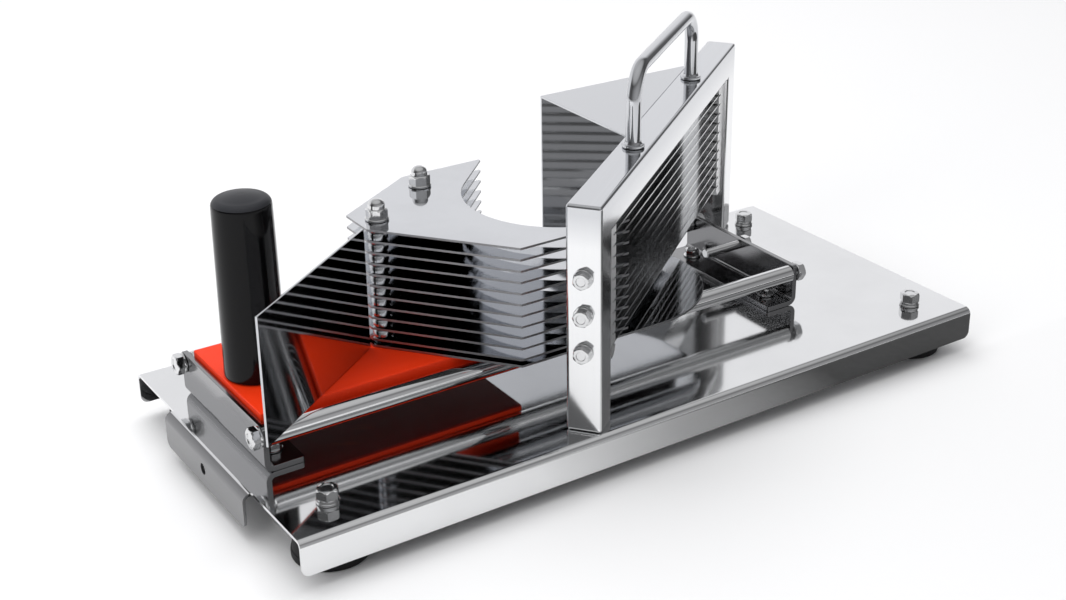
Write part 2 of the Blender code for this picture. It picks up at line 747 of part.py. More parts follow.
def portal_mesh(name, half_length, half_depth, post, bar, top, bottom, rounding):
    """A three sided frame: two posts and the bar that joins their tops."""
    outline = (
        (-half_length, bottom), (-half_length, top), (half_length, top), (half_length, bottom),
        (half_length - post, bottom), (half_length - post, top - bar),
        (-half_length + post, top - bar), (-half_length + post, bottom),
    )
    bm = bmesh.new()
    face = bm.faces.new([bm.verts.new((x, -half_depth, z)) for x, z in outline])
    made = bmesh.ops.extrude_face_region(bm, geom=[face])
    moved = [item for item in made["geom"] if isinstance(item, bmesh.types.BMVert)]
    bmesh.ops.translate(bm, verts=moved, vec=(0, 2 * half_depth, 0))
    bmesh.ops.recalc_face_normals(bm, faces=bm.faces)
    if rounding:
        edges = [
            edge for edge in bm.edges
            if not all(abs(vert.co.z - bottom) < 1e-6 for vert in edge.verts)
        ]
        bmesh.ops.bevel(bm, geom=edges, offset=rounding, segments=2, profile=0.5, affect="EDGES")
    return mesh_from(bm, name)


def build_blade_frame():
    half_length = FRAME_LENGTH / 2
    half_depth = FRAME_DEPTH / 2
    mesh = portal_mesh(
        "blade_frame", half_length, half_depth, POST_WIDTH, BAR_HEIGHT, FRAME_TOP, GAP, 0.0018
    )
    frame = add_object("blade_frame", mesh, brushed_steel("frame_steel"), FRAME)
    inside = portal_mesh(
        "frame_inside", half_length - FRAME_WALL, half_depth - FRAME_WALL,
        POST_WIDTH - 2 * FRAME_WALL, BAR_HEIGHT - 2 * FRAME_WALL, FRAME_TOP - FRAME_WALL, -0.01, 0.0,
    )
    cut(frame, add_cutter("frame_inside", inside, FRAME))
    holes = []
    for side in (-1, 1):
        centre = side * (half_length - POST_WIDTH / 2)
        for height in BOLT_HEIGHTS:
            holes.append(((centre, 0, height), M5_HOLE, POST_WIDTH + 0.01, "X"))
    cut(frame, add_cutter("frame_holes", drill_mesh("frame_holes", holes, 12), FRAME))


def build_tension_bolts():
    face = -FRAME_LENGTH / 2 - GAP
    reach = NEAR_HOLDER - HOLDER_THICKNESS / 2 + BOLT_GRIP - face
    bm = bmesh.new()
    bolt(bm, pointing(-1), M5, M5_FLATS, M5_HEAD, reach, M5_WASHER)
    places = [(face, 0.0, height) for height in BOLT_HEIGHTS]
    add_copies("tension_bolt", bm, mirror_steel("fastener_steel"), FRAME, places)


def blade_heights():
    return [PLATE_TOP + PITCH * (number + 1) for number in range(FIN_COUNT)]


def build_holder(name, centre, inward, thickness, bolt_depth):
    """A slotted bar that the blades' ends sit in; the near one is threaded for the bolts."""
    middle = (centre, 0, (HOLDER_TOP + HOLDER_BOTTOM) / 2)
    mesh = box_mesh(name, (thickness, HOLDER_WIDTH, HOLDER_TOP - HOLDER_BOTTOM), middle)
    holder = add_object(name, mesh, brushed_steel("holder_steel"), FRAME)
    inner_face = centre + inward * thickness / 2
    slot_size = (2 * SLOT_DEPTH, HOLDER_WIDTH + 0.004, BLADE_SHEET + 2 * GAP)
    slots = bmesh.new()
    for height in blade_heights():
        shape = at(inner_face, 0, height) @ Matrix.Diagonal((*slot_size, 1.0))
        bmesh.ops.create_cube(slots, size=1.0, matrix=shape)
    cut(holder, add_cutter(f"{name}_slots", mesh_from(slots, f"{name}_slots"), FRAME))
    if bolt_depth:
        outer_face = centre - inward * thickness / 2
        bores = [((outer_face, 0, z), M5_HOLE, 2 * bolt_depth, "X") for z in BOLT_HEIGHTS]
        cut(holder, add_cutter(f"{name}_threads", drill_mesh(f"{name}_threads", bores, 12), FRAME))


def build_holders():
    build_holder("near_blade_holder", NEAR_HOLDER, 1, HOLDER_THICKNESS, BOLT_GRIP + GAP)
    far_middle = (FAR_HOLDER_FACE + FAR_HOLDER_BACK) / 2
    build_holder("far_blade_holder", far_middle, -1, FAR_HOLDER_BACK - FAR_HOLDER_FACE, 0.0)


def blade_outline():
    left = NEAR_HOLDER + HOLDER_THICKNESS / 2 - SLOT_DEPTH + GAP
    right = FAR_HOLDER_FACE + SLOT_DEPTH - GAP
    half = BLADE_WIDTH / 2
    return [(left, -half), (right, -half), (right, half), (left, half)]


def build_blades():
    steel = mirror_steel("blade_mirror")
    outlines = [blade_outline()]
    for number, height in enumerate(blade_heights(), start=1):
        flat_plate(f"slicing_blade_{number:02d}", outlines, BLADE_SHEET, steel, FRAME, height)


def build_carry_handle():
    """A round bar bent to a U that stands on the frame's top bar, with a collar at each foot."""
    foot = FRAME_TOP + GAP
    left = GRIP_SHIFT - GRIP_HALF_SPAN
    right = GRIP_SHIFT + GRIP_HALF_SPAN
    bend_z = GRIP_TOP - GRIP_BEND
    path = [(left, foot)]
    path += arc((left + GRIP_BEND, bend_z), GRIP_BEND, math.pi, math.pi / 2, 6)
    path += arc((right - GRIP_BEND, bend_z), GRIP_BEND, math.pi / 2, 0.0, 6)
    path.append((right, foot))
    curve = bpy.data.curves.new("carry_handle", "CURVE")
    curve.dimensions = "3D"
    curve.bevel_depth = GRIP_RADIUS
    curve.bevel_resolution = 3
    curve.use_fill_caps = True
    spline = curve.splines.new("POLY")
    spline.points.add(len(path) - 1)
    for point, (x, z) in zip(spline.points, path):
        point.co = (x, 0.0, z, 1.0)
    add_object("carry_handle", curve, mirror_steel("grip_mirror"), FRAME)


def build_rear_guard():
    """A folded sheet: a roof beside the top bar and a wall beyond the far side of the fins."""
    offset = FRAME_DEPTH / 2 + GAP
    slope = math.tan(FRAME_TURN)
    shift = offset / math.sin(FRAME_TURN)

    def frame_edge_x(y):
        return FRAME_X - shift + y / slope

    near_y = (REAR_GUARD_X - FRAME_X + shift) * slope
    inner_y = REAR_GUARD_Y - REAR_GUARD_SHEET
    far_x = frame_edge_x(inner_y - GAP)
    bm = bmesh.new()
    roof = (
        (REAR_GUARD_X, near_y + GAP), (far_x, inner_y), (far_x, REAR_GUARD_Y),
        (REAR_GUARD_X, REAR_GUARD_Y),
    )
    bm.faces.new([bm.verts.new((x, y, FRAME_TOP)) for x, y in roof])
    fold = ((REAR_GUARD_X, REAR_GUARD_Y, FRAME_TOP), (far_x, REAR_GUARD_Y, FRAME_TOP))
    extrude_edge(bm, fold[0], fold[1], (0, 0, REAR_GUARD_BOTTOM - FRAME_TOP))
    bmesh.ops.recalc_face_normals(bm, faces=bm.faces)
    face_up(bm, (REAR_GUARD_X, REAR_GUARD_Y, FRAME_TOP), (0, 0, 1))
    steel = mirror_steel("guard_mirror")
    guard = add_object("rear_guard", mesh_from(bm, "rear_guard"), steel, ROOT)
    add_solidify(guard, REAR_GUARD_SHEET)


clear_scene()
PARTS = make_collection("vegetable_slicer")
CUTTERS = make_collection("cutters")
ROOT = make_empty("machine_base", (TAB_REACH / 2, 0.0, -FOOT_UNDERSIDE))
CARRIAGE = make_empty("carriage_axis", (0.0, 0.0, 0.0), ROOT)
FRAME = make_empty("blade_axis", (FRAME_X, 0.0, 0.0), ROOT, FRAME_TURN)

build_base()
build_feet()
build_brackets()
build_rods()
build_rod_bolts()
build_stop()
build_board()
build_fins()
build_spacers()
build_studs()
build_hand_guard()
build_push_handle()
build_blade_frame()
build_tension_bolts()
build_holders()
build_blades()
build_carry_handle()
build_rear_guard()
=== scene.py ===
import math

import bmesh
import bpy
from bpy.props import FloatProperty, FloatVectorProperty, IntProperty, PointerProperty
from mathutils import Matrix, Vector


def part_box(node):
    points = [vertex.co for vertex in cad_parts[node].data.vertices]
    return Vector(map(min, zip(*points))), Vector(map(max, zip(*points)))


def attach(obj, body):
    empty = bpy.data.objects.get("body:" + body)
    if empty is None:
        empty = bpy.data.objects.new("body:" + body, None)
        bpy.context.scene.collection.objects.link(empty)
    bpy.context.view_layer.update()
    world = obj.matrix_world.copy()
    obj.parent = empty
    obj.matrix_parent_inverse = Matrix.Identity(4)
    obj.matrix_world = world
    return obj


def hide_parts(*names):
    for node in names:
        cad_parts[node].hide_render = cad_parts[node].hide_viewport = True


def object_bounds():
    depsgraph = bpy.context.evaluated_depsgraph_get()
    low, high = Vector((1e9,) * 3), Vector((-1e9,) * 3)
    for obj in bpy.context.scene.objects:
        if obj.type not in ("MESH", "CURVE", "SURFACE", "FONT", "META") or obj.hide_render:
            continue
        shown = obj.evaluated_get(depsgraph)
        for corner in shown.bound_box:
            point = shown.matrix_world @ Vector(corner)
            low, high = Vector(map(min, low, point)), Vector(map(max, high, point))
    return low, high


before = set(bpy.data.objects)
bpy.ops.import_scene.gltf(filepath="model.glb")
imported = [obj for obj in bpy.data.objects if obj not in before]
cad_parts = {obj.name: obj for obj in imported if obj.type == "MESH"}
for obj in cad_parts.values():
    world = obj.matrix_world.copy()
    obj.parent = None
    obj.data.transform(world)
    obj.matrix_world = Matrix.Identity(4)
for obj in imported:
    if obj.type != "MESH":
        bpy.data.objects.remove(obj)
CAD_LOW, CAD_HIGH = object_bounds()

bl_info = {
    "name": "Vegetable slicer",
    "version": (1, 0, 0),
    "blender": (4, 5, 0),
    "location": "3D View > Sidebar > Slicer",
    "description": "Builds the finished surfaces of a hand pushed vegetable slicer around its solids",
    "category": "Object",
}

BASE = "base"
CARRIAGE = "carriage"
MM = 0.001
GAP = 0.3 * MM
UP = Vector((0, 0, 1))

FIN_NODES = sorted(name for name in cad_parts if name.startswith("pusher_fin_"))
BLADE_NODES = sorted(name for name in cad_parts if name.startswith("slicing_blade_"))


def low(node):
    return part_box(node)[0]


def high(node):
    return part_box(node)[1]


def middle(node):
    return (low(node) + high(node)) / 2


M5 = {"flats": 0.008, "thread": 0.005, "hole": 0.0052}
M6 = {"flats": 0.010, "thread": 0.006, "hole": 0.0062}

SHEET_TOP = high("base_plate").z
SLIDE_Y = middle("slide_board").y
FRAME_CENTRE = middle("blade_frame")

# Along the blade frame, from its middle.
NEAR_COMB_BACK, NEAR_COMB_FACE = -0.121, -0.113
FAR_COMB_FACE = 0.116
BLADE_BITE = 0.0042


# ---------------------------------------------------------------- settings


class SlicerSteel(bpy.types.PropertyGroup):
    polish: FloatProperty(
        name="Polish", description="Roughness of the mirror polished sheet", default=0.05, min=0.0, max=1.0
    )
    tint: FloatVectorProperty(
        name="Tint", description="Colour of the base sheet", subtype="COLOR", default=(0.80, 0.805, 0.81)
    )
    # The deep tint is painted shade: a darker copy of the same polished steel for the fins, top bar, guards
    # and carrying handle.
    deep: FloatVectorProperty(
        name="Deep tint", description="Colour of the fins, frame and guards", subtype="COLOR",
        default=(0.62, 0.63, 0.65),
    )
    # The tab tint is partly real and partly painted shade: the satin roughness is the tab's own, its dark
    # colour stands in for shade on that side-facing face.
    satin_and_shade: FloatVectorProperty(
        name="Dull tint", description="Colour of the satin end tab", subtype="COLOR",
        default=(0.25, 0.25, 0.255),
    )
    # The bracket tint is painted shade: a darker copy of the polished steel for the brackets' shaded side
    # faces.
    bracket: FloatVectorProperty(
        name="Bracket tint", description="Colour of the rail brackets", subtype="COLOR",
        default=(0.30, 0.30, 0.305),
    )
    cut: FloatVectorProperty(
        name="Cut edge", description="Colour of the sheared edges", subtype="COLOR",
        default=(0.30, 0.30, 0.31),
    )


class SlicerPlastic(bpy.types.PropertyGroup):
    board: FloatVectorProperty(
        name="Board", description="Colour of the slide board", subtype="COLOR", default=(0.86, 0.040, 0.006)
    )
    # The underside colour is painted shade under the board, not darkening by use.
    underside: FloatVectorProperty(
        name="Underside", description="Colour of the board's underside, darkened by use", subtype="COLOR",
        default=(0.22, 0.012, 0.008),
    )
    handle: FloatVectorProperty(
        name="Handle", description="Colour of the push handle", subtype="COLOR",
        default=(0.003, 0.003, 0.0035),
    )
    rubber: FloatVectorProperty(
        name="Rubber", description="Colour of the feet", subtype="COLOR", default=(0.006, 0.006, 0.0065)
    )


class SlicerSizes(bpy.types.PropertyGroup):
    frame_turn: FloatProperty(
        name="Frame turn", description="Angle between the slide and the blades", subtype="ANGLE",
        default=math.radians(38.1),
    )
    frame_length: FloatProperty(
        name="Frame length", description="Blade frame over its posts", unit="LENGTH", default=0.294
    )
    frame_depth: FloatProperty(
        name="Frame depth", description="Thickness of the blade frame", unit="LENGTH", default=0.0185
    )
    sheet_edge: FloatProperty(
        name="Sheet edge", description="Rounding of cut sheet edges", unit="LENGTH", default=0.00022
    )
    round_steps: IntProperty(
        name="Round steps", description="Segments round a turned piece", default=48, min=24, max=96
    )


class SlicerStage(bpy.types.PropertyGroup):
    camera_place: FloatVectorProperty(
        name="Camera place", description="Where the camera stands", subtype="TRANSLATION",
        default=(-0.4581, -0.6798, 0.4345),
    )
    camera_turn: FloatVectorProperty(
        name="Camera turn", description="Camera rotation", subtype="EULER",
        default=(math.radians(66.76), math.radians(-0.09), math.radians(-35.0)),
    )
    lens: FloatProperty(name="Lens", description="Focal length in millimetres", default=54.9)
    shift_x: FloatProperty(name="Shift X", description="Sideways lens shift", default=-0.058)
    shift_y: FloatProperty(name="Shift Y", description="Upward lens shift", default=-0.048)
    key: FloatProperty(name="Key", description="Power of the overhead softbox", unit="POWER", default=62.0)
    side: FloatProperty(name="Side", description="Power of the side softbox", unit="POWER", default=9.0)
    walls: FloatProperty(name="Walls", description="Brightness of the studio walls", default=1.0)
    floor: FloatVectorProperty(
        name="Floor", description="Colour of the floor", subtype="COLOR", default=(0.84, 0.84, 0.845)
    )


def steel():
    return bpy.context.scene.slicer_steel


def plastic():
    return bpy.context.scene.slicer_plastic


def sizes():
    return bpy.context.scene.slicer_sizes


# ---------------------------------------------------------------- shader maths


class Value:
    """A shader socket that can be used in Python sums."""

    def __init__(self, nodes, socket):
        self.nodes = nodes
        self.socket = socket

    def _math(self, operation, first, second):
        return self.nodes.add("ShaderNodeMath", {"operation": operation}, {0: first, 1: second})

    def __add__(self, other):
        return self._math("ADD", self, other)

    def __radd__(self, other):
        return self._math("ADD", other, self)

    def __sub__(self, other):
        return self._math("SUBTRACT", self, other)

    def __rsub__(self, other):
        return self._math("SUBTRACT", other, self)

    def __mul__(self, other):
        return self._math("MULTIPLY", self, other)

    def __rmul__(self, other):
        return self._math("MULTIPLY", other, self)

    def above(self, level):
        return self._math("GREATER_THAN", self, level)

    def size(self):
        return self._math("ABSOLUTE", self, 0.0)


def set_stops(ramp, stops, blue=1.0):
    """Grey stops at (position, level), with the blue part scaled."""
    while len(ramp.elements) < len(stops):
        ramp.elements.new(1.0)
    for element, (position, level) in zip(ramp.elements, stops):
        element.position = position
        element.color = (level, level, level * blue, 1.0)


class Finish:
    """One material's node tree; every node is added by the same method."""

    def __init__(self, name):
        self.material = bpy.data.materials.new(name)
        self.material.use_nodes = True
        self.tree = self.material.node_tree
        self.shader = self.tree.nodes["Principled BSDF"]

    def add(self, kind, settings=None, sockets=None, output=0):
        node = self.tree.nodes.new(kind)
        for key, value in (settings or {}).items():
            if key == "stops":
                set_stops(node.color_ramp, value)
            else:
                setattr(node, key, value)
        for key, value in (sockets or {}).items():
            self.feed(node.inputs[key], value)
        return Value(self, node.outputs[output])

    def feed(self, socket, value):
        if isinstance(value, Value):
            self.tree.links.new(value.socket, socket)
        else:
            socket.default_value = value

    def principled(self, **values):
        for key, value in values.items():
            self.feed(self.shader.inputs[key.replace("_", " ").title().replace("Ior", "IOR")], value)

    def place(self, scale=(1, 1, 1), turn=(0, 0, 0)):
        """Position on the machine, stretched by scale after a turn."""
        position = self.add("ShaderNodeTexCoord", output="Object")
        turned = self.add("ShaderNodeMapping", sockets={"Vector": position, "Rotation": turn})
        return self.add("ShaderNodeMapping", sockets={"Vector": turned, "Scale": scale})

    def axis(self, vector, letter):
        return self.add("ShaderNodeSeparateXYZ", sockets={0: vector}, output=letter)

    def where(self, letter):
        """Distance along one of the machine's axes."""
        return self.axis(self.add("ShaderNodeTexCoord", output="Object"), letter)

    def facing_up(self):
        """1 on a face that looks up, -1 on one that looks down."""
        return self.axis(self.add("ShaderNodeNewGeometry", output="Normal"), "Z")

    def wipe_marks(self, around, size):
        """Soft patches left by a cloth."""
        return self.ramp(self.noise(around, size, 6.0, 0.62), ((0.42, 0.0), (0.72, 1.0)))

    def weave(self, around, direction):
        settings = {"bands_direction": direction}
        return self.add("ShaderNodeTexWave", settings, {"Vector": around, "Scale": 460.0}, "Fac")

    def noise(self, where, size, detail=3.0, rough=0.5):
        sockets = {"Vector": where, "Scale": size, "Detail": detail, "Roughness": rough}
        return self.add("ShaderNodeTexNoise", sockets=sockets)

    def ramp(self, value, stops):
        return self.add("ShaderNodeValToRGB", {"stops": stops}, {"Fac": value})

    def mix(self, amount, first, second):
        node = self.tree.nodes.new("ShaderNodeMix")
        node.data_type = "RGBA"
        first_colour, second_colour = (socket for socket in node.inputs if socket.type == "RGBA")
        self.feed(node.inputs["Factor"], amount)
        self.feed(first_colour, first)
        self.feed(second_colour, second)
        return Value(self, next(socket for socket in node.outputs if socket.type == "RGBA"))

    def bump(self, height, strength, distance):
        sockets = {"Height": height, "Strength": strength, "Distance": distance}
        return self.add("ShaderNodeBump", sockets=sockets)


def rgba(colour, factor=1.0):
    return (*(min(1.0, part * factor) for part in colour), 1.0)


MADE = {}


def finish_once(make):
    """Keeps one material for each maker and name."""

    def wrapped(name, *details):
        if name not in MADE:
            MADE[name] = make(name, *details)
        return MADE[name]

    return wrapped


@finish_once
def mirror_steel(name, tint, roughness, lines):
    """Polished sheet: wipe marks in the gloss and hair-fine polishing lines along the sheet."""
    made = Finish(name)
    around = made.place()
    wipe = made.wipe_marks(around, 16.0)
    cloud = made.noise(around, 5.0, 2.0)
    polish = made.noise(made.place(lines), 1.0, 4.0, 0.7)
    made.principled(
        base_color=made.mix(cloud, rgba(tint), rgba(tint, 0.94)),
        metallic=1.0,
        roughness=roughness + wipe * 0.03 + polish * 0.025,
        normal=made.bump(polish, 0.02, 0.00005),
    )
    return made.material


@finish_once
def fin_steel(name):
    """Polished laser cut sheet: bright faces, and dark striped edges where it was cut."""
    made = Finish(name)
    around = made.place()
    edge = 1.0 - made.facing_up().size().above(0.5)
    wipe = made.wipe_marks(around, 18.0)
    stripe = made.noise(made.place((1400, 1400, 30)), 1.0, 4.0, 0.7)
    # Painted shade: the fin faces use the darker deep tint.
    face = made.mix(wipe, rgba(steel().deep, 1.06), rgba(steel().deep, 0.98))
    burr = made.mix(stripe, rgba(steel().cut, 0.75), rgba(steel().cut, 1.35))
    made.principled(
        base_color=made.mix(edge, face, burr),
        metallic=1.0,
        roughness=0.04 + wipe * 0.035 + edge * 0.30 + stripe * edge * 0.10,
        normal=made.bump(stripe * edge, 0.15, 0.0001),
    )
    return made.material


@finish_once
def base_steel(name, tab_edge):
    """Polished base sheet whose end tab, beyond the bend, is left satin, with its colour darkened as painted
    shade.
    """
    made = Finish(name)
    around = made.place()
    tab = 1.0 - made.where("X").above(tab_edge)
    wipe = made.wipe_marks(around, 16.0)
    polish = made.noise(made.place((5, 2400, 2400)), 1.0, 4.0, 0.7)
    grain = made.noise(made.place((1500, 8, 1500)), 1.0, 5.0, 0.72)
    sheet = made.mix(wipe, rgba(steel().tint), rgba(steel().tint, 0.95))
    # Painted shade: the tab beyond the bend takes the dark tab tint, besides its real satin roughness and
    # grain.
    mill_and_shade = made.mix(grain, rgba(steel().satin_and_shade, 0.85), rgba(steel().satin_and_shade, 1.15))
    made.principled(
        base_color=made.mix(tab, sheet, mill_and_shade),
        metallic=1.0,
        roughness=steel().polish + wipe * 0.03 + polish * 0.025 + tab * 0.26,
        normal=made.bump(polish + grain * tab * 3.0, 0.02, 0.00005),
    )
    return made.material


@finish_once
def post_steel(name, turn, bar_underside):
    """Square tube: grinding lines run up the posts and along the top bar; the posts are painted lighter and
    the bar darker, as painted light and painted shade.
    """
    made = Finish(name)
    upright = made.noise(made.place((1600, 1600, 6)), 1.0, 5.0, 0.7)
    level = made.noise(made.place((6, 1600, 1600), (0, 0, -turn)), 1.0, 5.0, 0.7)
    on_bar = made.ramp((made.where("Z") - bar_underside) * 60.0 + 0.2, ((0.0, 0.0), (1.0, 1.0)))
    grain = level * on_bar + upright * (1.0 - on_bar)
    wipe = made.noise(made.place(), 18.0, 5.0, 0.6)
    # Painted light and shade: the posts take a lighter copy of the sheet tint, the top bar the darker deep
    # tint.
    post = made.mix(grain, rgba(steel().tint, 1.04), rgba(steel().tint, 1.14))
    bar = made.mix(grain, rgba(steel().deep, 0.96), rgba(steel().deep, 1.10))
    made.principled(
        base_color=made.mix(on_bar, post, bar),
        metallic=1.0,
        roughness=0.07 + grain * 0.05 + wipe * 0.04,
        normal=made.bump(grain, 0.03, 0.00006),
    )
    return made.material


@finish_once
def bolt_steel(name):
    """Bright fastener steel: small pits and a little tarnish in patches."""
    made = Finish(name)
    around = made.place()
    pits = made.ramp(made.noise(around, 900.0, 2.0), ((0.36, 0.0), (0.50, 1.0)))
    tarnish = made.noise(around, 160.0, 4.0, 0.6)
    made.principled(
        base_color=made.mix(tarnish, rgba(steel().tint, 0.78), rgba(steel().tint, 1.0)),
        metallic=1.0,
        roughness=0.08 + tarnish * 0.10,
        normal=made.bump(pits, 0.06, 0.00005),
    )
    return made.material


def bright():
    return bolt_steel("bolt_steel")


@finish_once
def blade_steel(name, turn):
    """Ground blade strip: fine lines across the strip."""
    made = Finish(name)
    grind = made.noise(made.place((1800, 60, 60), (0, 0, -turn)), 1.0, 4.0, 0.7)
    made.principled(
        base_color=made.mix(grind, rgba(steel().tint, 0.86), rgba(steel().tint, 1.02)),
        metallic=1.0,
        roughness=0.10 + grind * 0.08,
        normal=made.bump(grind, 0.05, 0.00006),
    )
    return made.material


@finish_once
def board_plastic(name):
    """Food board: fine pressed weave, faint knife scuffs, paler rubbed patches and painted shade on its
    underside.
    """
    made = Finish(name)
    around = made.place()
    weave = made.weave(around, "X") * made.weave(around, "Y")
    grain = made.noise(around, 1500.0, 2.0, 0.6) + weave * 1.4
    patch = made.noise(around, 30.0, 4.0, 0.55)
    scuff_run = made.noise(made.place((30, 420, 420), (0, 0, 0.5)), 1.0, 4.0, 0.7)
    scuff = made.ramp(scuff_run, ((0.60, 0.0), (0.72, 1.0)))
    pressed = made.mix(weave, rgba(plastic().board, 0.86), rgba(plastic().board, 1.10))
    rubbed = made.mix(patch, pressed, rgba(plastic().board, 1.04))
    # Painted shade: faces that look down take the dark underside colour.
    painted_shade_below = 1.0 - made.facing_up().above(-0.5)
    colour = made.mix(painted_shade_below, rubbed, rgba(plastic().underside))
    made.principled(
        base_color=made.mix(scuff * 0.18, colour, (0.95, 0.14, 0.05, 1.0)),
        roughness=0.40 + patch * 0.10 + scuff * 0.12,
        normal=made.bump(grain + scuff * -0.5, 0.20, 0.0002),
        ior=1.27,
    )
    return made.material


@finish_once
def handle_plastic(name, rim):
    """Turned handle: glossy side with hair scratches, satin end above the rim."""
    made = Finish(name)
    around = made.place()
    on_end = made.where("Z").above(rim)
    hair = made.noise(made.place((500, 500, 30)), 1.0, 5.0, 0.7)
    grain = made.noise(around, 1300.0, 2.0)
    made.principled(
        base_color=made.mix(on_end, rgba(plastic().handle), (0.030, 0.031, 0.035, 1.0)),
        roughness=0.09 + hair * 0.05 + on_end * 0.30,
        normal=made.bump(grain * on_end + hair * 0.2, 0.12, 0.0001),
        ior=1.27,
    )
    return made.material


@finish_once
def foot_rubber(name):
    """Moulded rubber: fine sparkle from the mould and a dusty bloom."""
    made = Finish(name)
    grain = made.noise(made.place(), 1100.0, 3.0, 0.6)
    bloom = made.noise(made.place(), 45.0, 3.0)
    made.principled(
        base_color=made.mix(bloom, rgba(plastic().rubber), rgba(plastic().rubber, 1.9)),
        roughness=0.40 + bloom * 0.14,
        normal=made.bump(grain, 0.25, 0.0002),
        ior=1.27,
    )
    return made.material


@finish_once
def floor_paint(name):
    """Pale matt floor with the faintest mottling."""
    made = Finish(name)
    mottle = made.noise(made.place(), 1.3, 3.0)
    colour = bpy.context.scene.slicer_stage.floor
    made.principled(
        base_color=made.mix(mottle, rgba(colour, 0.985), rgba(colour, 1.015)), roughness=0.62 + mottle * 0.1
    )
    return made.material


@finish_once
def flag_cloth(name):
    """Black studio cloth."""
    made = Finish(name)
    weave = made.noise(made.place(), 220.0, 2.0)
    fade = made.where("X") * 5.0 + 0.35
    made.principled(
        base_color=made.mix(weave, rgba((0.05, 0.05, 0.05)), rgba((0.07, 0.07, 0.07))),
        roughness=0.9,
        alpha=made.ramp(fade, ((0.0, 0.0), (0.45, 0.55), (1.0, 1.0))),
    )
    return made.material


# ---------------------------------------------------------------- making meshes


def to_object(name, bm, finish=None):
    """Puts a bmesh into the scene under a name and frees it."""
    mesh = bpy.data.meshes.new(name)
    bm.to_mesh(mesh)
    bm.free()
    if finish:
        mesh.materials.append(finish)
    made = bpy.data.objects.new(name, mesh)
    bpy.context.scene.collection.objects.link(made)
    return made


def piece(name, bm, finish, body, nodes=(), smooth=32.0):
    """Turns a bmesh into a finished piece that rides on a body and stands for its solids."""
    bm.normal_update()
    made = to_object(name, bm, finish)
    made.data.shade_smooth()
    made.data.set_sharp_from_angle(angle=math.radians(smooth))
    flats = made.modifiers.new("Flat faces", "WEIGHTED_NORMAL")
    flats.keep_sharp = True
    flats.weight = 80
    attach(made, body)
    if nodes:
        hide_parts(*nodes)
    return made


def at(x=0.0, y=0.0, z=0.0):
    return Matrix.Translation((x, y, z))


def along(direction):
    """Turns +Z to point along direction."""
    return Vector(direction).to_track_quat("Z", "Y").to_matrix().to_4x4()


def frame_axes():
    """The blade frame's own axes: x along the blades, y towards the push handle, z up from the base."""
    return at(FRAME_CENTRE.x, FRAME_CENTRE.y, SHEET_TOP) @ Matrix.Rotation(sizes().frame_turn, 4, "Z")


def ring_radius(shape, size, angle):
    if shape == "hex":
        return size / 2 / math.cos((angle % (math.pi / 3)) - math.pi / 6)
    return size / 2


def turned(*rings):
    """Round rings from pairs of diameter and height."""
    return [("round", size, height) for size, height in rings]


def turn_rings(bm, rings, matrix, closed=False, steps=None):
    """Joins rings of (shape, size, height, optional largest diameter) into one body."""
    steps = steps or sizes().round_steps
    loops = []
    for shape, size, height, *limit in rings:
        loop = []
        for step in range(steps):
            angle = 2 * math.pi * step / steps
            radius = ring_radius(shape, size, angle)
            if limit:
                radius = min(radius, limit[0] / 2)
            point = Vector((radius * math.cos(angle), radius * math.sin(angle), height))
            loop.append(bm.verts.new(matrix @ point))
        loops.append(loop)
    pairs = list(zip(loops, loops[1:]))
    if closed:
        pairs.append((loops[-1], loops[0]))
    faces = []
    for lower, upper in pairs:
        for step in range(steps):
            after = (step + 1) % steps
            faces.append(bm.faces.new((lower[step], lower[after], upper[after], upper[step])))
    if not closed:
        faces.append(bm.faces.new(list(reversed(loops[0]))))
        faces.append(bm.faces.new(loops[-1]))
    bmesh.ops.recalc_face_normals(bm, faces=faces)


def arc(centre, radius, start, end, steps):
    points = []
    for step in range(steps + 1):
        angle = start + (end - start) * step / steps
        points.append((centre[0] + radius * math.cos(angle), centre[1] + radius * math.sin(angle)))
    return points


def circle(centre, diameter):
    steps = 32
    return arc(centre, diameter / 2, 0.0, 2 * math.pi * (steps - 1) / steps, steps - 1)


def sheet_body(outlines, thickness, matrix, edge):
    """A flat sheet with holes and softly rounded cut edges, its middle plane on the matrix's xy."""
    curve = bpy.data.curves.new("outline", "CURVE")
    curve.dimensions = "2D"
    curve.fill_mode = "BOTH"
    curve.extrude = thickness / 2
    for outline in outlines:
        spline = curve.splines.new("POLY")
        spline.points.add(len(outline) - 1)
        spline.use_cyclic_u = True
        for point, (x, y) in zip(spline.points, outline):
            point.co = (x, y, 0.0, 1.0)
    holder = bpy.data.objects.new("outline", curve)
    bpy.context.scene.collection.objects.link(holder)
    mesh = bpy.data.meshes.new_from_object(holder.evaluated_get(bpy.context.evaluated_depsgraph_get()))
    bpy.data.objects.remove(holder)
    bm = bmesh.new()
    bm.from_mesh(mesh)
    bmesh.ops.remove_doubles(bm, verts=bm.verts, dist=0.00001)
    bmesh.ops.dissolve_limit(bm, angle_limit=math.radians(0.5), verts=bm.verts, edges=bm.edges)
    bmesh.ops.recalc_face_normals(bm, faces=bm.faces)
    round_edges(bm, edge, 2)
    bmesh.ops.transform(bm, matrix=matrix, verts=bm.verts)
    return bm


def round_edges(bm, width, segments, sharper_than=50.0):
    """Rounds every edge whose faces meet at more than the given angle."""
    bm.normal_update()
    corners = [
        edge for edge in bm.edges
        if len(edge.link_faces) == 2 and edge.calc_face_angle(0.0) > math.radians(sharper_than)
    ]
    bmesh.ops.bevel(
        bm, geom=corners, offset=width, segments=segments, profile=0.5, affect="EDGES", clamp_overlap=True
    )


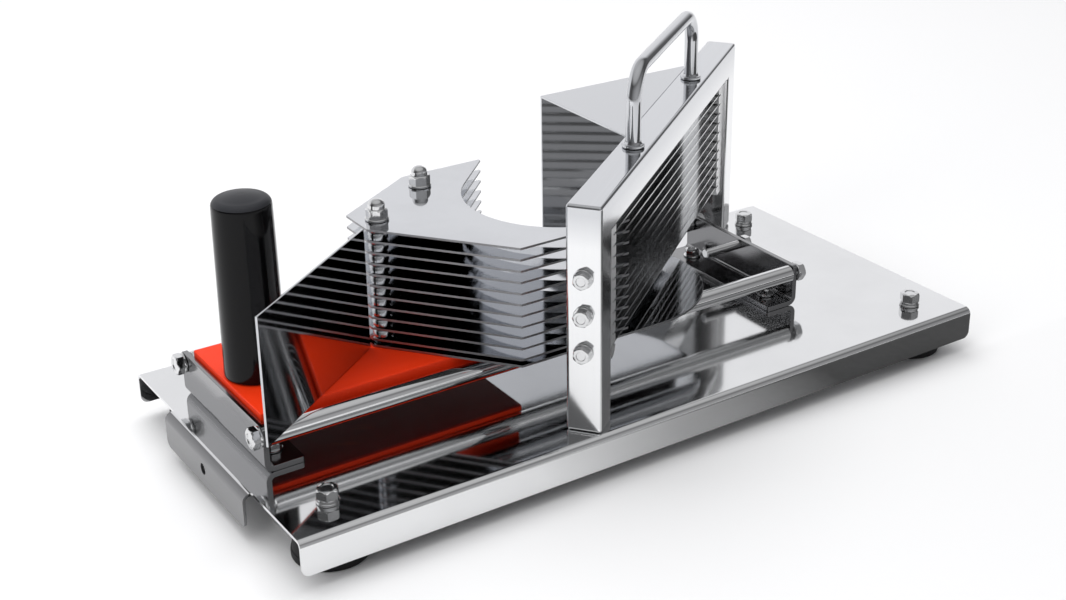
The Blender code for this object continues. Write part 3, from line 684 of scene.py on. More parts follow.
def extruded(bm, outline, shift, matrix):
    """A prism from a closed outline of 3D points, pulled along shift."""
    face = bm.faces.new([bm.verts.new(point) for point in outline])
    made = bmesh.ops.extrude_face_region(bm, geom=[face])
    moved = [item for item in made["geom"] if isinstance(item, bmesh.types.BMVert)]
    bmesh.ops.translate(bm, verts=moved, vec=shift)
    bmesh.ops.recalc_face_normals(bm, faces=bm.faces)
    bmesh.ops.transform(bm, matrix=matrix, verts=bm.verts)


def pull_edge(bm, start, end, shift):
    """Continues an open sheet from the edge between two points."""
    start, end = Vector(start), Vector(end)
    for edge in bm.edges:
        first, second = (vert.co for vert in edge.verts)
        if min((first - start).length + (second - end).length,
               (first - end).length + (second - start).length) < 1e-6:
            made = bmesh.ops.extrude_edge_only(bm, edges=[edge])
            moved = [item for item in made["geom"] if isinstance(item, bmesh.types.BMVert)]
            bmesh.ops.translate(bm, verts=moved, vec=shift)
            return


def fold_lines(bm, folds, bend, corners, corner_radius):
    """Rounds an open sheet's free corners and then bends its folds."""
    points = [Vector(corner) for corner in corners]
    free = [vert for vert in bm.verts if any((vert.co - point).length < 1e-6 for point in points)]
    bmesh.ops.bevel(bm, geom=free, offset=corner_radius, segments=6, profile=0.5, affect="VERTICES")
    lines = []
    for start, end in folds:
        start = Vector(start)
        direction = (Vector(end) - start).normalized()
        for edge in bm.edges:
            offsets = [vert.co - start for vert in edge.verts]
            if all((offset - direction * offset.dot(direction)).length < 1e-6 for offset in offsets):
                lines.append(edge)
    bmesh.ops.bevel(bm, geom=lines, offset=bend, segments=8, profile=0.5, affect="EDGES")


def thicken(bm, thickness, point, outward, holes=()):
    """Gives an open folded sheet its thickness, inwards from the face near point, and drills it."""
    bmesh.ops.recalc_face_normals(bm, faces=bm.faces)
    nearest = min(bm.faces, key=lambda face: (face.calc_center_median() - Vector(point)).length)
    if nearest.normal.dot(Vector(outward)) < 0:
        bmesh.ops.reverse_faces(bm, faces=bm.faces)
    body = to_object("sheet", bm)
    shell = body.modifiers.new("Sheet", "SOLIDIFY")
    shell.thickness = thickness
    shell.offset = -1.0
    shell.solidify_mode = "NON_MANIFOLD"
    shell.nonmanifold_thickness_mode = "EVEN"
    drill = None
    if holes:
        drills = bmesh.new()
        reach = 0.01
        for centre, diameter, direction in holes:
            rings = turned((diameter, -reach), (diameter, reach))
            turn_rings(drills, rings, at(*centre) @ along(direction))
        drill = to_object("drill", drills)
        cut = body.modifiers.new("Holes", "BOOLEAN")
        cut.operation = "DIFFERENCE"
        cut.object = drill
    mesh = bpy.data.meshes.new_from_object(body.evaluated_get(bpy.context.evaluated_depsgraph_get()))
    bpy.data.objects.remove(body)
    if drill:
        bpy.data.objects.remove(drill)
    made = bmesh.new()
    made.from_mesh(mesh)
    round_edges(made, sizes().sheet_edge, 2, 60.0)
    return made


def hex_head(flats, start, height):
    """Rings of a hexagon head with the turned chamfer round its top."""
    corner = flats / math.cos(math.pi / 6)
    chamfer = (corner - flats * 0.94) / 2 * math.tan(math.radians(30))
    top = start + height
    return [
        ("hex", flats * 0.985, start, corner * 0.985),
        ("hex", flats, start + 0.00015),
        ("hex", flats, top - chamfer * 1.9, corner),
        ("hex", flats, top - chamfer, corner * 0.975),
        ("hex", flats, top - chamfer * 0.5, flats * 1.045),
        ("round", flats * 0.94, top),
    ]


def washer_rings(hole, outside, start, thickness):
    soft = thickness * 0.22
    end = start + thickness
    return turned(
        (hole, start), (outside - soft, start), (outside, start + soft),
        (outside, end - soft), (outside - 2 * soft, end), (hole, end),
    )


def bolt_set(name, matrix, metric, head, shank, washer, nodes=(), seat=None):
    """A hexagon bolt with a dished head, and the washer under it, standing on the matrix's z = 0."""
    outside, thickness = washer
    seat = seat or thickness
    ring = bmesh.new()
    turn_rings(ring, washer_rings(metric["hole"], outside, 0.0, thickness), matrix, closed=True)
    piece(f"{name}_washer", ring, bright(), BASE)
    bm = bmesh.new()
    thread, flats, top = metric["thread"], metric["flats"], seat + head
    rings = turned((thread * 0.84, -shank), (thread, -shank + 0.0008), (thread, seat))
    rings += hex_head(flats, seat, head)
    rings += turned((flats * 0.62, top), (flats * 0.55, top - 0.0004))
    turn_rings(bm, rings, matrix)
    return piece(name, bm, bright(), BASE, nodes)


def refinish(node):
    """Gives a solid that is kept as it is the bright fastener finish."""
    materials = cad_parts[node].data.materials
    materials.clear()
    materials.append(bright())


# ---------------------------------------------------------------- base


class SLICER_OT_base(bpy.types.Operator):
    """Folded base sheet with its tab, on four rubber feet"""

    bl_idname = "slicer.base"
    bl_label = "Base"

    def execute(self, context):
        self.sheet()
        for number in range(1, 5):
            self.foot(f"rubber_foot_{number}", f"foot_bolt_{number}")
        return {"FINISHED"}

    def sheet(self):
        lowest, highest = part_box("base_plate")
        tab_reach = 0.005
        left, right = lowest.x + tab_reach, highest.x
        near, far = lowest.y, highest.y
        depth = lowest.z - SHEET_TOP
        half_tab = 0.0485
        thickness = 0.0015
        bend = 0.004
        hole_drop, hole_diameter = 0.009, 0.006
        bm = bmesh.new()
        outline = (
            (left, near), (right, near), (right, far), (left, far), (left, half_tab), (left, -half_tab)
        )
        bm.faces.new([bm.verts.new((x, y, SHEET_TOP)) for x, y in outline])
        for y in (near, far):
            pull_edge(bm, (left, y, SHEET_TOP), (right, y, SHEET_TOP), (0, 0, depth))
        roots = [(left, side * half_tab, SHEET_TOP) for side in (-1, 1)]
        pull_edge(bm, roots[0], roots[1], (-tab_reach, 0, 0))
        fold = [(lowest.x, side * half_tab, SHEET_TOP) for side in (-1, 1)]
        pull_edge(bm, fold[0], fold[1], (0, 0, depth))
        corners = [(x, y, lowest.z) for x in (left, right) for y in (near, far)]
        corners += [(lowest.x, side * half_tab, lowest.z) for side in (-1, 1)]
        folds = [((left, y, SHEET_TOP), (right, y, SHEET_TOP)) for y in (near, far)]
        folds.append((fold[0], fold[1]))
        fold_lines(bm, folds, bend, corners, bend)
        hole = ((lowest.x, 0.0, SHEET_TOP - hole_drop), hole_diameter, (1, 0, 0))
        made = thicken(bm, thickness, (0.1, 0, SHEET_TOP), UP, [hole])
        finish = base_steel("base_mirror", lowest.x + bend * 0.8)
        piece("base_sheet", made, finish, BASE, ["base_plate"])

    def foot(self, node, bolt_node):
        lowest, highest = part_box(node)
        centre = (lowest + highest) / 2
        bottom, top = lowest.z, highest.z
        wide = highest.x - lowest.x
        narrow = wide - 0.005
        bore, pocket, pocket_top = 0.0066, 0.018, bottom + 0.009
        rings = turned(
            (bore, top), (narrow - 0.005, top), (narrow - 0.0015, top - 0.0006), (narrow, top - 0.002),
            (wide - 0.0012, bottom + 0.0046), (wide - 0.0004, bottom + 0.0042),
            (wide - 0.0004, bottom + 0.0034), (wide, bottom + 0.003), (wide, bottom + 0.001),
            (wide - 0.0006, bottom + 0.0003), (wide - 0.002, bottom), (pocket + 0.0002, bottom),
            (pocket - 0.0002, bottom + 0.0004), (pocket - 0.0004, pocket_top), (bore, pocket_top),
        )
        bm = bmesh.new()
        turn_rings(bm, rings, at(centre.x, centre.y, 0.0), closed=True)
        piece(f"{node}_moulding", bm, foot_rubber("foot_rubber"), BASE, [node])
        matrix = at(centre.x, centre.y, SHEET_TOP + GAP)
        spring = bmesh.new()
        spring_rings = washer_rings(M6["hole"], outside=0.0104, start=0.0013, thickness=0.0014)
        turn_rings(spring, spring_rings, matrix, closed=True)
        piece(f"{bolt_node}_spring_washer", spring, bright(), BASE)
        bolt_set(
            f"{bolt_node}_bright", matrix, M6, head=0.005, shank=0.016, washer=(0.0115, 0.0012),
            nodes=[bolt_node], seat=0.0028,
        )


# ---------------------------------------------------------------- rails


class SLICER_OT_rails(bpy.types.Operator):
    """Angle brackets, guide rods, their bolts and the stop pin"""

    bl_idname = "slicer.rails"
    bl_label = "Rails"

    bracket_sheet = 0.003
    bracket_bend = 0.005
    bracket_corner = 0.0015
    bracket_bolt_y = 0.035
    bracket_bolt_inset = 0.0105

    def execute(self, context):
        self.bracket("left_rail_bracket", 1)
        self.bracket("right_rail_bracket", -1)
        for node in ("near_guide_rod", "far_guide_rod"):
            self.rod(node)
        for side, direction in (("left", -1), ("right", 1)):
            for number in (1, 2):
                self.rod_bolt(f"{side}_rod_bolt_{number}", direction)
        self.stop()
        return {"FINISHED"}

    def bracket(self, node, inward):
        lowest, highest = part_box(node)
        face = lowest.x if inward > 0 else highest.x
        foot = highest.x - lowest.x
        near, far = lowest.y, highest.y
        bottom, top = lowest.z, highest.z
        bm = bmesh.new()
        bm.faces.new([
            bm.verts.new(point) for point in
            ((face, near, bottom), (face, far, bottom), (face, far, top), (face, near, top))
        ])
        pull_edge(bm, (face, near, bottom), (face, far, bottom), (inward * foot, 0, 0))
        corners = [(face, y, top) for y in (near, far)]
        corners += [(face + inward * foot, y, bottom) for y in (near, far)]
        fold = ((face, near, bottom), (face, far, bottom))
        fold_lines(bm, [fold], self.bracket_bend, corners, self.bracket_corner)
        made = thicken(bm, self.bracket_sheet, (face, SLIDE_Y, top), (-inward, 0, 0))
        # Painted shade: the brackets take the dark bracket tint.
        finish = mirror_steel("bracket_steel", steel().bracket, 0.14, (1500, 6, 1500))
        piece(f"{node}_angle", made, finish, BASE, [node])
        for side in (-1, 1):
            x = face + inward * self.bracket_bolt_inset
            matrix = at(x, SLIDE_Y + side * self.bracket_bolt_y, bottom + self.bracket_sheet + GAP)
            name = f"{node}_bolt_{'near' if side < 0 else 'far'}"
            bolt_set(name, matrix, M5, head=0.0035, shank=0.007, washer=(0.0105, 0.001))

    def rod(self, node):
        lowest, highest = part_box(node)
        centre = middle(node)
        wide = highest.z - lowest.z
        length = highest.x - lowest.x
        bore, soft = 0.006, 0.0006
        rings = turned(
            (bore, 0.0), (wide - 2 * soft, 0.0), (wide, soft),
            (wide, length - soft), (wide - 2 * soft, length), (bore, length),
        )
        bm = bmesh.new()
        turn_rings(bm, rings, at(lowest.x, centre.y, centre.z) @ along((1, 0, 0)), closed=True)
        finish = mirror_steel("rod_steel", steel().tint, 0.04, (2400, 60, 60))
        piece(f"{node}_polished", bm, finish, BASE, [node])

    def rod_bolt(self, node, direction):
        centre = middle(node)
        face = (high("right_rail_bracket").x + GAP) if direction > 0 else (low("left_rail_bracket").x - GAP)
        matrix = at(face, centre.y, centre.z) @ along((direction, 0, 0))
        washer = (0.0108, 0.0012)
        bolt_set(f"{node}_bright", matrix, M6, head=0.004, shank=0.013, washer=washer, nodes=[node])

    def stop(self):
        lowest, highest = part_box("stop_pin")
        centre = middle("stop_pin")
        inner_face = high("right_rail_bracket").x - self.bracket_sheet - GAP
        reach = inner_face - lowest.x
        tail = highest.x - lowest.x
        wide, crest, root, pitch = 0.0055, 0.0050, 0.0043, 0.0008
        rings = turned((0.0040, 0.0), (0.0049, 0.0001), (0.0054, 0.0005), (wide, 0.0009), (wide, reach))
        rings += turned((crest, reach))
        for turn in range(int((tail - reach - 0.002) / pitch)):
            start = reach + 0.001 + turn * pitch
            rings += turned((crest, start), (root, start + pitch / 2))
        rings += turned((0.0049, tail - 0.0006), (0.0042, tail))
        bm = bmesh.new()
        turn_rings(bm, rings, at(lowest.x, centre.y, centre.z) @ along((1, 0, 0)))
        piece("stop_pin_turned", bm, bright(), BASE, ["stop_pin"])
        nut = bmesh.new()
        start, end = low("stop_nut"), high("stop_nut")
        bore, thick = 0.0056, end.x - start.x
        rings = turned((bore, 0.0)) + hex_head(M5["flats"], 0.0, thick) + turned((bore, thick))
        turn_rings(nut, rings, at(start.x, centre.y, centre.z) @ along((1, 0, 0)), closed=True)
        piece("stop_nut_bright", nut, bright(), BASE, ["stop_nut"])


# ---------------------------------------------------------------- blade frame


class SLICER_OT_blade_frame(bpy.types.Operator):
    """Square tube frame with its tension bolts, blade holders and carrying handle"""

    bl_idname = "slicer.blade_frame"
    bl_label = "Blade frame"

    post = 0.0175
    bar = 0.0187
    tube_corner = 0.0018
    holder_half_depth = 0.0065

    def execute(self, context):
        self.frame()
        self.holders()
        self.tension_bolts()
        self.carry_handle()
        return {"FINISHED"}

    def frame(self):
        half = sizes().frame_length / 2
        deep = sizes().frame_depth / 2
        top = high("blade_frame").z - SHEET_TOP
        bottom = low("blade_frame").z - SHEET_TOP
        outline = [
            (-half, bottom), (-half, top), (half, top), (half, bottom), (half - self.post, bottom),
            (half - self.post, top - self.bar), (-half + self.post, top - self.bar),
            (-half + self.post, bottom),
        ]
        bm = bmesh.new()
        extruded(bm, [(x, -deep, z) for x, z in outline], (0, 2 * deep, 0), Matrix.Identity(4))
        round_edges(bm, self.tube_corner, 5)
        bmesh.ops.transform(bm, matrix=frame_axes(), verts=bm.verts)
        finish = post_steel("frame_steel", sizes().frame_turn, SHEET_TOP + top - self.bar)
        piece("blade_frame_tube", bm, finish, BASE, ["blade_frame"])

    def holders(self):
        finish = mirror_steel("holder_steel", (0.88, 0.88, 0.885), 0.42, (900, 900, 8))
        slots = [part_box(node) for node in BLADE_NODES]
        half = sizes().frame_length / 2
        comb_back = half - self.post - GAP
        for node, near_x, far_x, side in (
            ("near_blade_holder", NEAR_COMB_BACK, NEAR_COMB_FACE, 1),
            ("far_blade_holder", FAR_COMB_FACE, comb_back, -1),
        ):
            bottom = low(node).z - SHEET_TOP
            top = high(node).z - SHEET_TOP
            open_x = far_x if side > 0 else near_x
            back_x = near_x if side > 0 else far_x
            step = 0.0045 * side
            teeth = [(back_x, bottom), (open_x - step * 0.8, bottom), (open_x, bottom + 0.004)]
            for start, end in slots:
                lower = start.z - SHEET_TOP - GAP
                upper = end.z - SHEET_TOP + GAP
                soft = 0.0005
                teeth += [
                    (open_x, lower - soft), (open_x - soft * side, lower), (open_x - step, lower),
                    (open_x - step, upper), (open_x - soft * side, upper), (open_x, upper + soft),
                ]
            teeth += [(open_x, top), (back_x, top)]
            bm = bmesh.new()
            wide = self.holder_half_depth
            extruded(bm, [(x, -wide, z) for x, z in teeth], (0, 2 * wide, 0), Matrix.Identity(4))
            bmesh.ops.transform(bm, matrix=frame_axes(), verts=bm.verts)
            piece(f"{node}_comb", bm, finish, BASE, [node], 25.0)

    def tension_bolts(self):
        axes = frame_axes()
        face = -sizes().frame_length / 2 - GAP
        for number in (1, 2, 3):
            node = f"tension_bolt_{number}"
            height = middle(node).z - SHEET_TOP
            turn = Matrix.Rotation(0.5 * number, 4, "Z")
            matrix = axes @ at(face, 0, height) @ along((-1, 0, 0)) @ turn
            washer = (0.0100, 0.0012)
            bolt_set(f"{node}_bright", matrix, M5, head=0.0035, shank=0.024, washer=washer, nodes=[node])

    def carry_handle(self):
        lowest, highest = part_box("carry_handle")
        thick = 0.004
        bend = 0.017
        shift = 0.0029
        half = 0.0625
        foot = lowest.z - SHEET_TOP
        top = highest.z - SHEET_TOP - thick
        left, right = shift - half, shift + half
        path = [(left, foot)]
        path += arc((left + bend, top - bend), bend, math.pi, math.pi / 2, 20)
        path += arc((right - bend, top - bend), bend, math.pi / 2, 0.0, 20)
        path.append((right, foot))
        curve = bpy.data.curves.new("carry_handle_rod", "CURVE")
        curve.dimensions = "3D"
        curve.bevel_depth = thick
        curve.bevel_resolution = 8
        curve.use_fill_caps = True
        spline = curve.splines.new("POLY")
        spline.points.add(len(path) - 1)
        for point, (x, z) in zip(spline.points, path):
            place = frame_axes() @ Vector((x, 0.0, z))
            point.co = (*place, 1.0)
        # Painted shade: the carrying handle uses the darker deep tint.
        finish = mirror_steel("grip_steel", steel().deep, 0.05, (900, 900, 900))
        curve.materials.append(finish)
        made = bpy.data.objects.new("carry_handle_rod", curve)
        bpy.context.scene.collection.objects.link(made)
        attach(made, BASE)
        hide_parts("carry_handle")
        for name, x in (("near", left), ("far", right)):
            bore, wide = 2 * thick + 0.0002, 0.012
            rings = turned(
                (bore, 0.0), (wide - 0.0004, 0.0), (wide, 0.0002), (wide, 0.0012),
                (wide - 0.0005, 0.0016), (0.0094, 0.0019), (bore, 0.0030),
            )
            bm = bmesh.new()
            turn_rings(bm, rings, frame_axes() @ at(x, 0, foot), closed=True)
            piece(f"carry_handle_collar_{name}", bm, finish, BASE)


class SLICER_OT_blades(bpy.types.Operator):
    """Thin level blades, ground on the side that meets the vegetable"""

    bl_idname = "slicer.blades"
    bl_label = "Blades"

    def execute(self, context):
        finish = blade_steel("blade_steel", sizes().frame_turn)
        ends = (NEAR_COMB_FACE - BLADE_BITE, FAR_COMB_FACE + BLADE_BITE)
        for node in BLADE_NODES:
            lowest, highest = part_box(node)
            thick = (highest.z - lowest.z) / 2
            centre = (highest.z + lowest.z) / 2 - SHEET_TOP
            wide = 0.006
            grind = 0.0022
            section = [
                (-wide, -thick), (wide - grind, -thick), (wide, -0.00004), (wide, 0.00004),
                (wide - grind, thick), (-wide, thick),
            ]
            bm = bmesh.new()
            outline = [(ends[0], y, z) for y, z in section]
            matrix = frame_axes() @ at(0, 0, centre)
            extruded(bm, outline, (ends[1] - ends[0], 0, 0), matrix)
            piece(f"{node}_ground", bm, finish, BASE, [node], 10.0)
        return {"FINISHED"}


class SLICER_OT_rear_guard(bpy.types.Operator):
    """Folded guard behind the blades: a roof beside the top bar and a wall past the fins"""

    bl_idname = "slicer.rear_guard"
    bl_label = "Rear guard"

    sheet = 0.0012
    lap = 0.0014

    def execute(self, context):
        lowest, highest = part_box("rear_guard")
        left, right = lowest.x, highest.x
        near, far = lowest.y, highest.y
        top = highest.z
        bm = bmesh.new()
        turn = sizes().frame_turn
        lap_left = near - self.lap / math.cos(turn)
        lap_right = right + self.lap / math.sin(turn)
        roof = (
            (left, lap_left, top), (lap_right, far - self.sheet, top), (right, far, top), (left, far, top)
        )
        bm.faces.new([bm.verts.new(point) for point in roof])
        pull_edge(bm, (left, far, top), (right, far, top), (0, 0, lowest.z - top))
        made = thicken(bm, self.sheet, (left, far, top), UP)
        # Painted shade: the rear guard uses the darker deep tint.
        finish = mirror_steel("guard_mirror", steel().deep, 0.04, (5, 2400, 2400))
        piece("rear_guard_sheet", made, finish, BASE, ["rear_guard"])
        return {"FINISHED"}


# ---------------------------------------------------------------- carriage


class SLICER_OT_slide_board(bpy.types.Operator):
    """Red food board, grooved on both sides for the guide rods"""

    bl_idname = "slicer.slide_board"
    bl_label = "Slide board"

    def execute(self, context):
        lowest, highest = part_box("slide_board")
        rod = middle("far_guide_rod")
        rod_y = rod.y - SLIDE_Y
        rod_z = rod.z
        groove = 0.0054
        lip = highest.y - SLIDE_Y
        side = rod_y - groove
        angle = math.acos(max(-1.0, min(1.0, (rod_y - lip) / groove)))
        soft = 0.0008
        half = [(side - soft, highest.z), (side - 0.0003, highest.z - 0.0003), (side, highest.z - soft)]
        half += arc((rod_y, rod_z), groove, math.pi, math.pi + angle, 12)
        half += [(lip, lowest.z + soft), (lip - soft, lowest.z)]
        outline = half + [(-y, z) for y, z in reversed(half)]
        bm = bmesh.new()
        points = [(lowest.x, SLIDE_Y + y, z) for y, z in outline]
        extruded(bm, points, (highest.x - lowest.x, 0, 0), Matrix.Identity(4))
        ends = [
            edge for edge in bm.edges
            if abs(edge.verts[0].co.x - edge.verts[1].co.x) < 1e-7 and len(edge.link_faces) == 2
        ]
        bmesh.ops.bevel(bm, geom=ends, offset=0.0005, segments=3, profile=0.5, affect="EDGES")
        piece("slide_board_red", bm, board_plastic("board_red"), CARRIAGE, ["slide_board"], 40.0)
        return {"FINISHED"}


class SLICER_OT_fins(bpy.types.Operator):
    """Support plate and fins, spaced on two studs and held by acorn nuts"""

    bl_idname = "slicer.fins"
    bl_label = "Fins"

    def execute(self, context):
        self.studs = [middle("stack_stud_1"), middle("stack_stud_2")]
        finish = fin_steel("fin_mirror")
        holes = [circle((stud.x, stud.y), 0.0066) for stud in self.studs]
        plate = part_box("support_plate")
        thick = plate[1].z - plate[0].z
        matrix = at(z=(plate[0].z + plate[1].z) / 2)
        bm = sheet_body([self.plate_outline()] + holes, thick, matrix, sizes().sheet_edge)
        piece("support_plate_cut", bm, finish, CARRIAGE, ["support_plate"])
        for node in FIN_NODES:
            lowest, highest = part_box(node)
            matrix = at(z=(lowest.z + highest.z) / 2)
            bm = sheet_body([self.fin_outline()] + holes, thick, matrix, sizes().sheet_edge)
            piece(f"{node}_cut", bm, finish, CARRIAGE, [node])
        for number, stud in enumerate(self.studs, start=1):
            self.spacers(number, stud)
            self.nut(number, stud)
            refinish(f"stack_stud_{number}")
        return {"FINISHED"}

    tail_near, tail_far = 0.0045, 0.027
    shoulder_run = 0.0506

    def corners(self):
        """The straight back edges, shared by the support plate and the fins."""
        back = low("support_plate").x
        shoulder = back + self.shoulder_run
        near, far = low("support_plate").y, high("support_plate").y
        return back, shoulder, near, far

    def plate_outline(self):
        back, shoulder, near, far = self.corners()
        nose = high("support_plate").x - far
        outline = arc((nose, 0.0), far, -math.pi / 2, math.pi / 2, 96)
        return outline + [(shoulder, far), (back, self.tail_far), (back, self.tail_near), (shoulder, near)]

    def fin_outline(self):
        back, shoulder, near, far = self.corners()
        tip = high(FIN_NODES[0]).x
        centre = (back + 0.111, -0.005)
        radius = 0.053
        start = math.radians(136)
        throat = arc(centre, radius, start, 1.5 * math.pi, 72)
        first_x, first_y = throat[0]
        far_tip = first_x + (far - first_y) / math.tan(start - math.pi / 2)
        outline = [
            (back, self.tail_near), (back, self.tail_far), (shoulder, far), (far_tip - 0.001, far),
            (far_tip - 0.0004, far - 0.0012),
        ]
        outline += throat
        outline += [
            (tip - 0.001, centre[1] - radius), (tip, centre[1] - radius - 0.0006),
            (tip - 0.0002, near + 0.0004), (tip - 0.001, near), (shoulder, near),
        ]
        return outline

    def spacers(self, number, stud):
        levels = [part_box(node) for node in FIN_NODES]
        bottoms = [high("support_plate").z] + [level[1].z for level in levels[:-1]]
        tops = [level[0].z for level in levels]
        bm = bmesh.new()
        for bottom, top in zip(bottoms, tops):
            height = top - bottom - 2 * GAP / 3
            rings = washer_rings(0.0062, 0.0104, bottom + GAP / 3, height)
            turn_rings(bm, rings, at(stud.x, stud.y, 0.0), closed=True, steps=32)
        name = f"fin_spacer_rings_{number}"
        piece(name, bm, bright(), CARRIAGE, [f"fin_spacers_{number}"])

    def nut(self, number, stud):
        node = f"acorn_nut_{number}"
        lowest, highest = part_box(node)
        place = at(stud.x, stud.y, lowest.z)
        hole, seat = 0.0066, 0.0012
        ring = bmesh.new()
        turn_rings(ring, washer_rings(hole, 0.0125, 0.0, seat), place, closed=True)
        piece(f"{node}_washer", ring, bright(), CARRIAGE)
        bm = bmesh.new()
        hex_top, neck, dome = 0.0062, 0.0087, 0.0049 * 0.72
        rings = turned((0.0034, 0.0084), (hole, 0.0082), (hole, seat))
        rings += hex_head(M6["flats"], seat, hex_top - seat) + turned((neck, hex_top))
        straight = highest.z - lowest.z - dome
        for step in range(9):
            angle = math.pi / 2 * step / 9
            rings += turned((neck * math.cos(angle), straight + dome * math.sin(angle)))
        turn_rings(bm, rings, place @ Matrix.Rotation(0.35 * number, 4, "Z"))
        piece(f"{node}_bright", bm, bright(), CARRIAGE, [node])


class SLICER_OT_hand_guard(bpy.types.Operator):
    """Mirror polished guard between the push handle and the fins"""

    bl_idname = "slicer.hand_guard"
    bl_label = "Hand guard"

    foot_start = 0.060
    foot_width = 0.014
    foot_inset = 0.002
    guard_sheet = 0.0012

    def execute(self, context):
        lowest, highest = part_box("hand_guard")
        near = Vector((-0.2069, -0.0602, 0.0))
        far = Vector((-0.1203, 0.0040, 0.0))
        run = far - near
        length = run.length
        place = Matrix.Translation(near) @ Matrix.Rotation(math.atan2(run.y, run.x), 4, "Z")
        bottom, top = lowest.z, highest.z
        bm = bmesh.new()
        spans = (0.0, self.foot_start, length - self.foot_inset, length)
        lower = [bm.verts.new((distance, 0.0, bottom)) for distance in spans]
        upper = [bm.verts.new((distance, 0.0, top)) for distance in spans]
        for step in range(3):
            bm.faces.new((lower[step], lower[step + 1], upper[step + 1], upper[step]))
        start, end = (self.foot_start, 0, bottom), (length - self.foot_inset, 0, bottom)
        pull_edge(bm, start, end, (0, self.foot_width, 0))
        made = thicken(bm, self.guard_sheet, (0, 0, top), (0, -1, 0))
        bmesh.ops.transform(made, matrix=place, verts=made.verts)
        # Painted shade: the hand guard uses the darker deep tint.
        finish = mirror_steel("hand_guard_mirror", steel().deep, 0.03, (2400, 2400, 8))
        piece("hand_guard_sheet", made, finish, CARRIAGE, ["hand_guard"])
        for number, distance in enumerate((0.070, 0.098), start=1):
            spot = place @ Vector((distance, 0.0078, bottom + self.guard_sheet + GAP))
            rings = turned((0.0075, 0.0), (0.0075, 0.0006), (0.0066, 0.0014), (0.0046, 0.0020))
            rings += [("hex", 0.0026, 0.0021), ("hex", 0.0026, 0.0010)]
            screw = bmesh.new()
            turn_rings(screw, rings, Matrix.Translation(spot))
            piece(f"guard_screw_{number}", screw, bright(), CARRIAGE)
        return {"FINISHED"}


class SLICER_OT_push_handle(bpy.types.Operator):
    """Turned black handle with a satin end"""

    bl_idname = "slicer.push_handle"
    bl_label = "Push handle"

    def execute(self, context):
        lowest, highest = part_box("push_handle")
        centre = middle("push_handle")
        tall = highest.z - lowest.z
        wide = highest.x - lowest.x
        top, soft = 0.0296, 0.0042
        rings = turned(
            (0.0086, 0.0), (wide - 0.0020, 0.0), (wide - 0.0006, 0.0006), (wide, 0.0020),
            (wide - 0.0003, 0.006), (top + 0.0003, tall - 0.014), (top, tall - 0.0062),
        )
        for step in range(1, 9):
            angle = math.pi / 2 * step / 8
            size = top - 2 * soft * (1 - math.cos(angle))
            rings += turned((size, tall - 0.0058 + soft * math.sin(angle)))
        crown, crown_rise = top - 2 * soft, 0.0016
        for step in range(1, 8):
            left = 1 - step / 8
            rings += turned((crown * left, tall - crown_rise + crown_rise * (1 - left ** 2)))
        bm = bmesh.new()
        turn_rings(bm, rings, at(centre.x, centre.y, lowest.z), steps=72)
        finish = handle_plastic("handle_black", highest.z - soft)
        piece("push_handle_turned", bm, finish, CARRIAGE, ["push_handle"])
        refinish("handle_bolt")
        return {"FINISHED"}


# ---------------------------------------------------------------- stage


